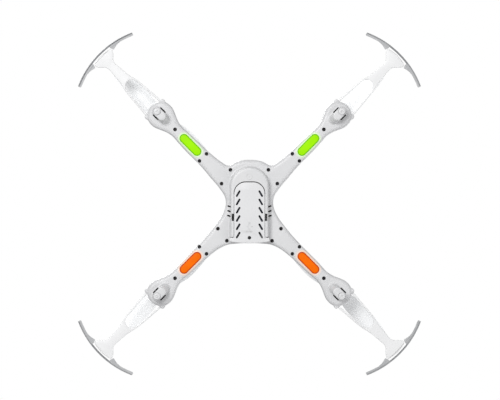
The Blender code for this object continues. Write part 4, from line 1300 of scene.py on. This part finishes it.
def plastic(name, colour, rough, drift, scuff, scuffs, grain, edge, dust_and_shade, **plain):
    """Moulded plastic; the last two colours, with amounts, are for rubbed edges and for inner corners, which
    are darkened partly as dust and partly as painted shade.
    """
    material, tree, shader = new_material(name, rough, **plain)
    skin = place_group(tree, skin_group, Colour=(*colour, 1), Drift=drift, Scuff_Colour=(*scuff, 1),
                       Scuffs=scuffs,
                       Roughness=rough, Grain=grain)
    masks = place_group(tree, edge_group, Edge_Width=0.06, Hollow_Width=0.08)
    rubbed = times(tree, masks.outputs["Edges"], edge[3])
    # Inner corners are darkened: partly dust, partly painted shade.
    dusty_and_shaded = times(tree, masks.outputs["Dust And Shade"], dust_and_shade[3])
    worn = mix_colour(tree, rubbed, skin.outputs["Colour"], (*edge[:3], 1))
    tree.links.new(mix_colour(tree, dusty_and_shaded, worn, (*dust_and_shade[:3], 1)), shader.inputs["Base Color"])
    tree.links.new(plus(tree, skin.outputs["Roughness"], times(tree, dusty_and_shaded, 0.3)),
                   shader.inputs["Roughness"])
    bump(tree, shader, skin.outputs["Height"], 0.02 * MM)
    return material


shell_white = plastic("shell_white", (0.74, 0.74, 0.745), 0.38, 0.16, (0.56, 0.56, 0.57), 0.25, 0.5,
                      (0.86, 0.86, 0.86, 0.25), (0.42, 0.41, 0.4, 0.35), Specular_IOR_Level=0.45)


def lit_by_covers(material):
    """Light from the covers soaks into the white plastic around them and tints it."""
    tree = material.node_tree
    shader = tree.nodes["Principled BSDF"]
    plain = shader.inputs["Base Color"].links[0].from_socket
    spill = place_group(tree, spill_group, Reach=2.4 * MM, Front_Colour=(0.66, 0.92, 0.42, 1),
                        Rear_Colour=(0.98, 0.62, 0.42, 1))
    amount = times(tree, spill.outputs["Near"], 0.75)
    tree.links.new(mix_colour(tree, amount, plain, spill.outputs["Colour"]), shader.inputs["Base Color"])
    tree.links.new(spill.outputs["Colour"], shader.inputs["Emission Color"])
    tree.links.new(times(tree, amount, 0.25), shader.inputs["Emission Strength"])


lit_by_covers(shell_white)
door_white = plastic("door_white", (0.78, 0.78, 0.785), 0.42, 0.14, (0.6, 0.6, 0.6), 0.3, 0.7,
                     (0.88, 0.88, 0.88, 0.25), (0.42, 0.41, 0.4, 0.3), Specular_IOR_Level=0.4)
guard_white = plastic("guard_white", (0.9, 0.9, 0.9), 0.3, 0.1, (0.7, 0.7, 0.7), 0.25, 0.25,
                      (0.94, 0.94, 0.94, 0.2), (0.5, 0.49, 0.48, 0.25), Specular_IOR_Level=0.4)
bumper_grey = plastic("bumper_grey", (0.5, 0.505, 0.51), 0.5, 0.3, (0.68, 0.68, 0.69), 0.4, 1.0,
                      (0.66, 0.66, 0.67, 0.4), (0.3, 0.3, 0.29, 0.4))
# A darker copy of the bumper's grey: painted shade for the outer wall that is seen edge-on.
bumper_painted_shade = plastic("bumper_painted_shade", (0.26, 0.265, 0.275), 0.48, 0.3, (0.44, 0.44, 0.45), 0.5, 1.0,
                      (0.4, 0.4, 0.41, 0.5), (0.16, 0.16, 0.15, 0.4))
button_grey = plastic("button_grey", (0.3, 0.31, 0.33), 0.5, 0.3, (0.45, 0.45, 0.46), 0.4, 1.2,
                      (0.42, 0.43, 0.44, 0.5), (0.14, 0.14, 0.14, 0.5))
nylon_white = plastic("nylon_white", (0.82, 0.8, 0.74), 0.48, 0.25, (0.62, 0.6, 0.54), 0.3, 0.8,
                      (0.88, 0.87, 0.82, 0.3), (0.3, 0.28, 0.24, 0.5))
lead_black = plastic("lead_black", (0.025, 0.025, 0.027), 0.55, 0.4, (0.1, 0.1, 0.1), 0.4, 0.8,
                     (0.07, 0.07, 0.07, 0.4), (0.15, 0.14, 0.13, 0.3))
# The blades' faint emission is painted light: it stands for lamp light coming through the thin white plastic.
blade_white_painted_glow = plastic("blade_white_painted_glow", (0.95, 0.955, 0.96), 0.3, 0.06, (0.82, 0.83, 0.84), 0.25, 0.15,
                      (0.98, 0.98, 0.98, 0.15), (0.8, 0.8, 0.8, 0.08), Specular_IOR_Level=0.3,
                      Emission_Color=(0.93, 0.95, 0.96, 1), Emission_Strength=0.12)
wrap_blue = plastic("wrap_blue", (0.008, 0.012, 0.028), 0.3, 0.5, (0.04, 0.045, 0.06), 0.3, 0.3,
                    (0.04, 0.05, 0.08, 0.3), (0.04, 0.04, 0.04, 0.4), Coat_Weight=0.2, Coat_Roughness=0.2)
print("plastics ready")


# %% Metal finishes
def metal(name, colour, tarnish, amount, rough, **plain):
    material, tree, shader = new_material(name, rough, Metallic=1.0, **plain)
    turned_group = place_group(tree, metal_group, Colour=(*colour, 1), Tarnish=(*tarnish, 1), Amount=amount,
                               Roughness=rough)
    tree.links.new(turned_group.outputs["Colour"], shader.inputs["Base Color"])
    tree.links.new(turned_group.outputs["Roughness"], shader.inputs["Roughness"])
    bump(tree, shader, turned_group.outputs["Height"], 0.01 * MM, 0.5)
    return material


ground_steel = metal("ground_steel", (0.56, 0.56, 0.57), (0.3, 0.27, 0.24), 0.3, 0.26)
motor_can = metal("motor_can", (0.5, 0.5, 0.51), (0.26, 0.24, 0.22), 0.35, 0.33)
turned_brass = metal("turned_brass", (0.75, 0.54, 0.2), (0.35, 0.2, 0.07), 0.4, 0.28)
black_steel = metal("black_steel", (0.05, 0.05, 0.053), (0.1, 0.08, 0.07), 0.5, 0.4)
print("metals ready")

# %% [markdown]
# ## Light covers and circuit boards
#
# The covers are clear coloured plastic over a lamp, so they glow. The glow is strongest over the
# lamp and fades to the rim, which is painted darker: painted shade for the narrow gap round the cover
# and the light bent at its edge. The group measures the distance from the pill's own middle line on the UV map.

# %% Light cover finish
def build_pill_glow():
    group, start, end = open_group(
        "pill glow",
        {"Core Colour": (0.4, 0.9, 0.02, 1), "Rim Colour": (0.1, 0.4, 0.0, 1)},
        {"Colour": BLACK, "Glow": BLACK, "Height": 0.0})
    uv = group.nodes.new("ShaderNodeUVMap")
    uv.uv_map = "along_arm"
    place = split_place(group, uv.outputs["UV"])
    run = math_node(group, "ABSOLUTE", place["X"], 0.0)
    out = pill_distance(group, run, place["Y"], LIGHT_SPAN / 2 / MM)
    # Painted shade: the colour darkens towards the rim of the cover.
    rim_shade_mask = remap(group, out, 2.7, 3.85)
    lamp = remap(group, run, 0.0, 11.0, 1.0, 0.0)
    cloudy = remap(group, noise(group, here(group), 300, 3), 0.3, 0.7, 0.0, 0.12)
    toward = math_node(group, "MAXIMUM", rim_shade_mask, cloudy)
    colour = mix_colour(group, toward, start.outputs["Core Colour"], start.outputs["Rim Colour"])
    group.links.new(colour, end.inputs["Colour"])
    strength = plus(group, times(group, lamp, 0.25), 0.8)
    grey = group.nodes.new("ShaderNodeCombineColor")
    for socket in grey.inputs:
        group.links.new(strength, socket)
    group.links.new(mix_colour(group, 1.0, colour, grey.outputs[0], "MULTIPLY"), end.inputs["Glow"])
    group.links.new(noise(group, here(group), 1400, 2), end.inputs["Height"])
    return group


glow_group = build_pill_glow()


def lens(name, core, rim_shade_colour):
    material, tree, shader = new_material(name, 0.35, Specular_IOR_Level=0.08, Emission_Strength=0.35)
    glow = place_group(tree, glow_group, Core_Colour=(*core, 1), Rim_Colour=(*rim_shade_colour, 1))
    tree.links.new(glow.outputs["Colour"], shader.inputs["Base Color"])
    tree.links.new(glow.outputs["Glow"], shader.inputs["Emission Color"])
    bump(tree, shader, glow.outputs["Height"], 0.008 * MM, 0.4)
    return material


green_lens = lens("green_lens", (0.29, 0.70, 0.001), (0.14, 0.46, 0.0))
orange_lens = lens("orange_lens", (0.76, 0.13, 0.0005), (0.40, 0.03, 0.0))


# %% Circuit board finish
def circuit_board():
    """Green solder mask with faint tracks below it and pads that show as tinned spots."""
    material, tree, shader = new_material("circuit_green", 0.3, Coat_Weight=0.3, Coat_Roughness=0.2)
    place = here(tree)
    cells = tree.nodes.new("ShaderNodeTexVoronoi")
    cells.distance = "MANHATTAN"
    cells.feature = "DISTANCE_TO_EDGE"
    cells.inputs["Scale"].default_value = 420
    tree.links.new(place, cells.inputs["Vector"])
    tracks = remap(tree, cells.outputs["Distance"], 0.02, 0.06, 1.0, 0.0)
    spots = tree.nodes.new("ShaderNodeTexVoronoi")
    spots.inputs["Scale"].default_value = 520
    spots.inputs["Randomness"].default_value = 0.4
    tree.links.new(place, spots.inputs["Vector"])
    pads = remap(tree, spots.outputs["Distance"], 0.16, 0.2, 1.0, 0.0)
    mask = mix_colour(tree, tracks, (0.012, 0.1, 0.035, 1), (0.03, 0.19, 0.07, 1))
    tree.links.new(mix_colour(tree, pads, mask, (0.55, 0.55, 0.52, 1)), shader.inputs["Base Color"])
    tree.links.new(times(tree, pads, 0.9), shader.inputs["Metallic"])
    tree.links.new(remap(tree, noise(tree, place, 200, 3), 0.3, 0.7, 0.24, 0.4), shader.inputs["Roughness"])
    bump(tree, shader, tracks, 0.03 * MM, 0.6)
    return material


circuit_green = circuit_board()
print("lenses and boards ready")

# %% [markdown]
# ## Putting it together
#
# Every new piece is told which moving body it rides on, which part of the frame it stands for and
# which finish it takes. Parts of the frame that already have the right shape, such
# as the gears and the motors, stay and only get their finish.

# %% Fit the new pieces
def fit(piece, body, nodes, material):
    piece.data.materials.clear()
    piece.data.materials.append(material)
    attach(piece, body)
    if nodes:
        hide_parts(*nodes)


def paint_rim_shade(piece, arm):
    """The outer wall of a bumper takes a darker copy of its grey, and so does the band behind the guard's head:
    painted shade for the wall that is seen edge-on.
    """
    piece.data.materials.append(bumper_painted_shade)
    turn = math.radians(ARMS[arm])
    along = Vector((math.cos(turn), math.sin(turn), 0))
    for face in piece.data.polygons:
        away = face.center - along * ROTOR_X
        away.z = 0
        turned_by = math.degrees(away.angle(along))
        wall = HEAD_IN if turned_by < 7.7 else RIM_IN
        if away.length > wall - 0.05 * MM or turned_by > END_ANGLE - 0.1:
            face.material_index = 1


fit(lower, "root", ["lower_shell"], shell_white)
fit(upper, "root", ["upper_shell"], shell_white)
fit(door, "battery_door", ["battery_door"], door_white)
fit(button, "power_button", ["power_button"], button_grey)
for name, piece in screw_pieces.items():
    fit(piece, "battery_door" if name == "door_screw" else "root", [name] if name in frame["nodes"] else [],
        black_steel)
for arm in ARMS:
    front = arm.startswith("front")
    fit(covers[arm], "root", [f"{arm}_light_cover"],
        green_lens if front else orange_lens)
    fit(guards[arm], "root", [f"{arm}_guard"], guard_white)
    fit(bumpers[arm], "root", [f"{arm}_bumper"], bumper_grey)
    paint_rim_shade(bumpers[arm], arm)
    fit(propellers[arm], f"{arm}_rotor", [f"{arm}_propeller"], blade_white_painted_glow)

# %% Finish the parts of the frame that stay
FRAME_FINISH = {"battery_pack": wrap_blue, "battery_lead": lead_black, "control_board": circuit_green,
                "motor": motor_can, "light_board": circuit_green, "bushing": turned_brass,
                "prop_shaft": ground_steel,
                "prop_screw": black_steel, "main_gear": nylon_white, "pinion": turned_brass}
finished = 0
for name, node in frame["nodes"].items():
    for ending, material in FRAME_FINISH.items():
        if name.endswith(ending):
            for index in range(len(node.data.materials)):
                node.data.materials[index] = material
            finished += 1
print("parts of the frame finished:", finished)

# %% The end
bpy.context.view_layer.update()
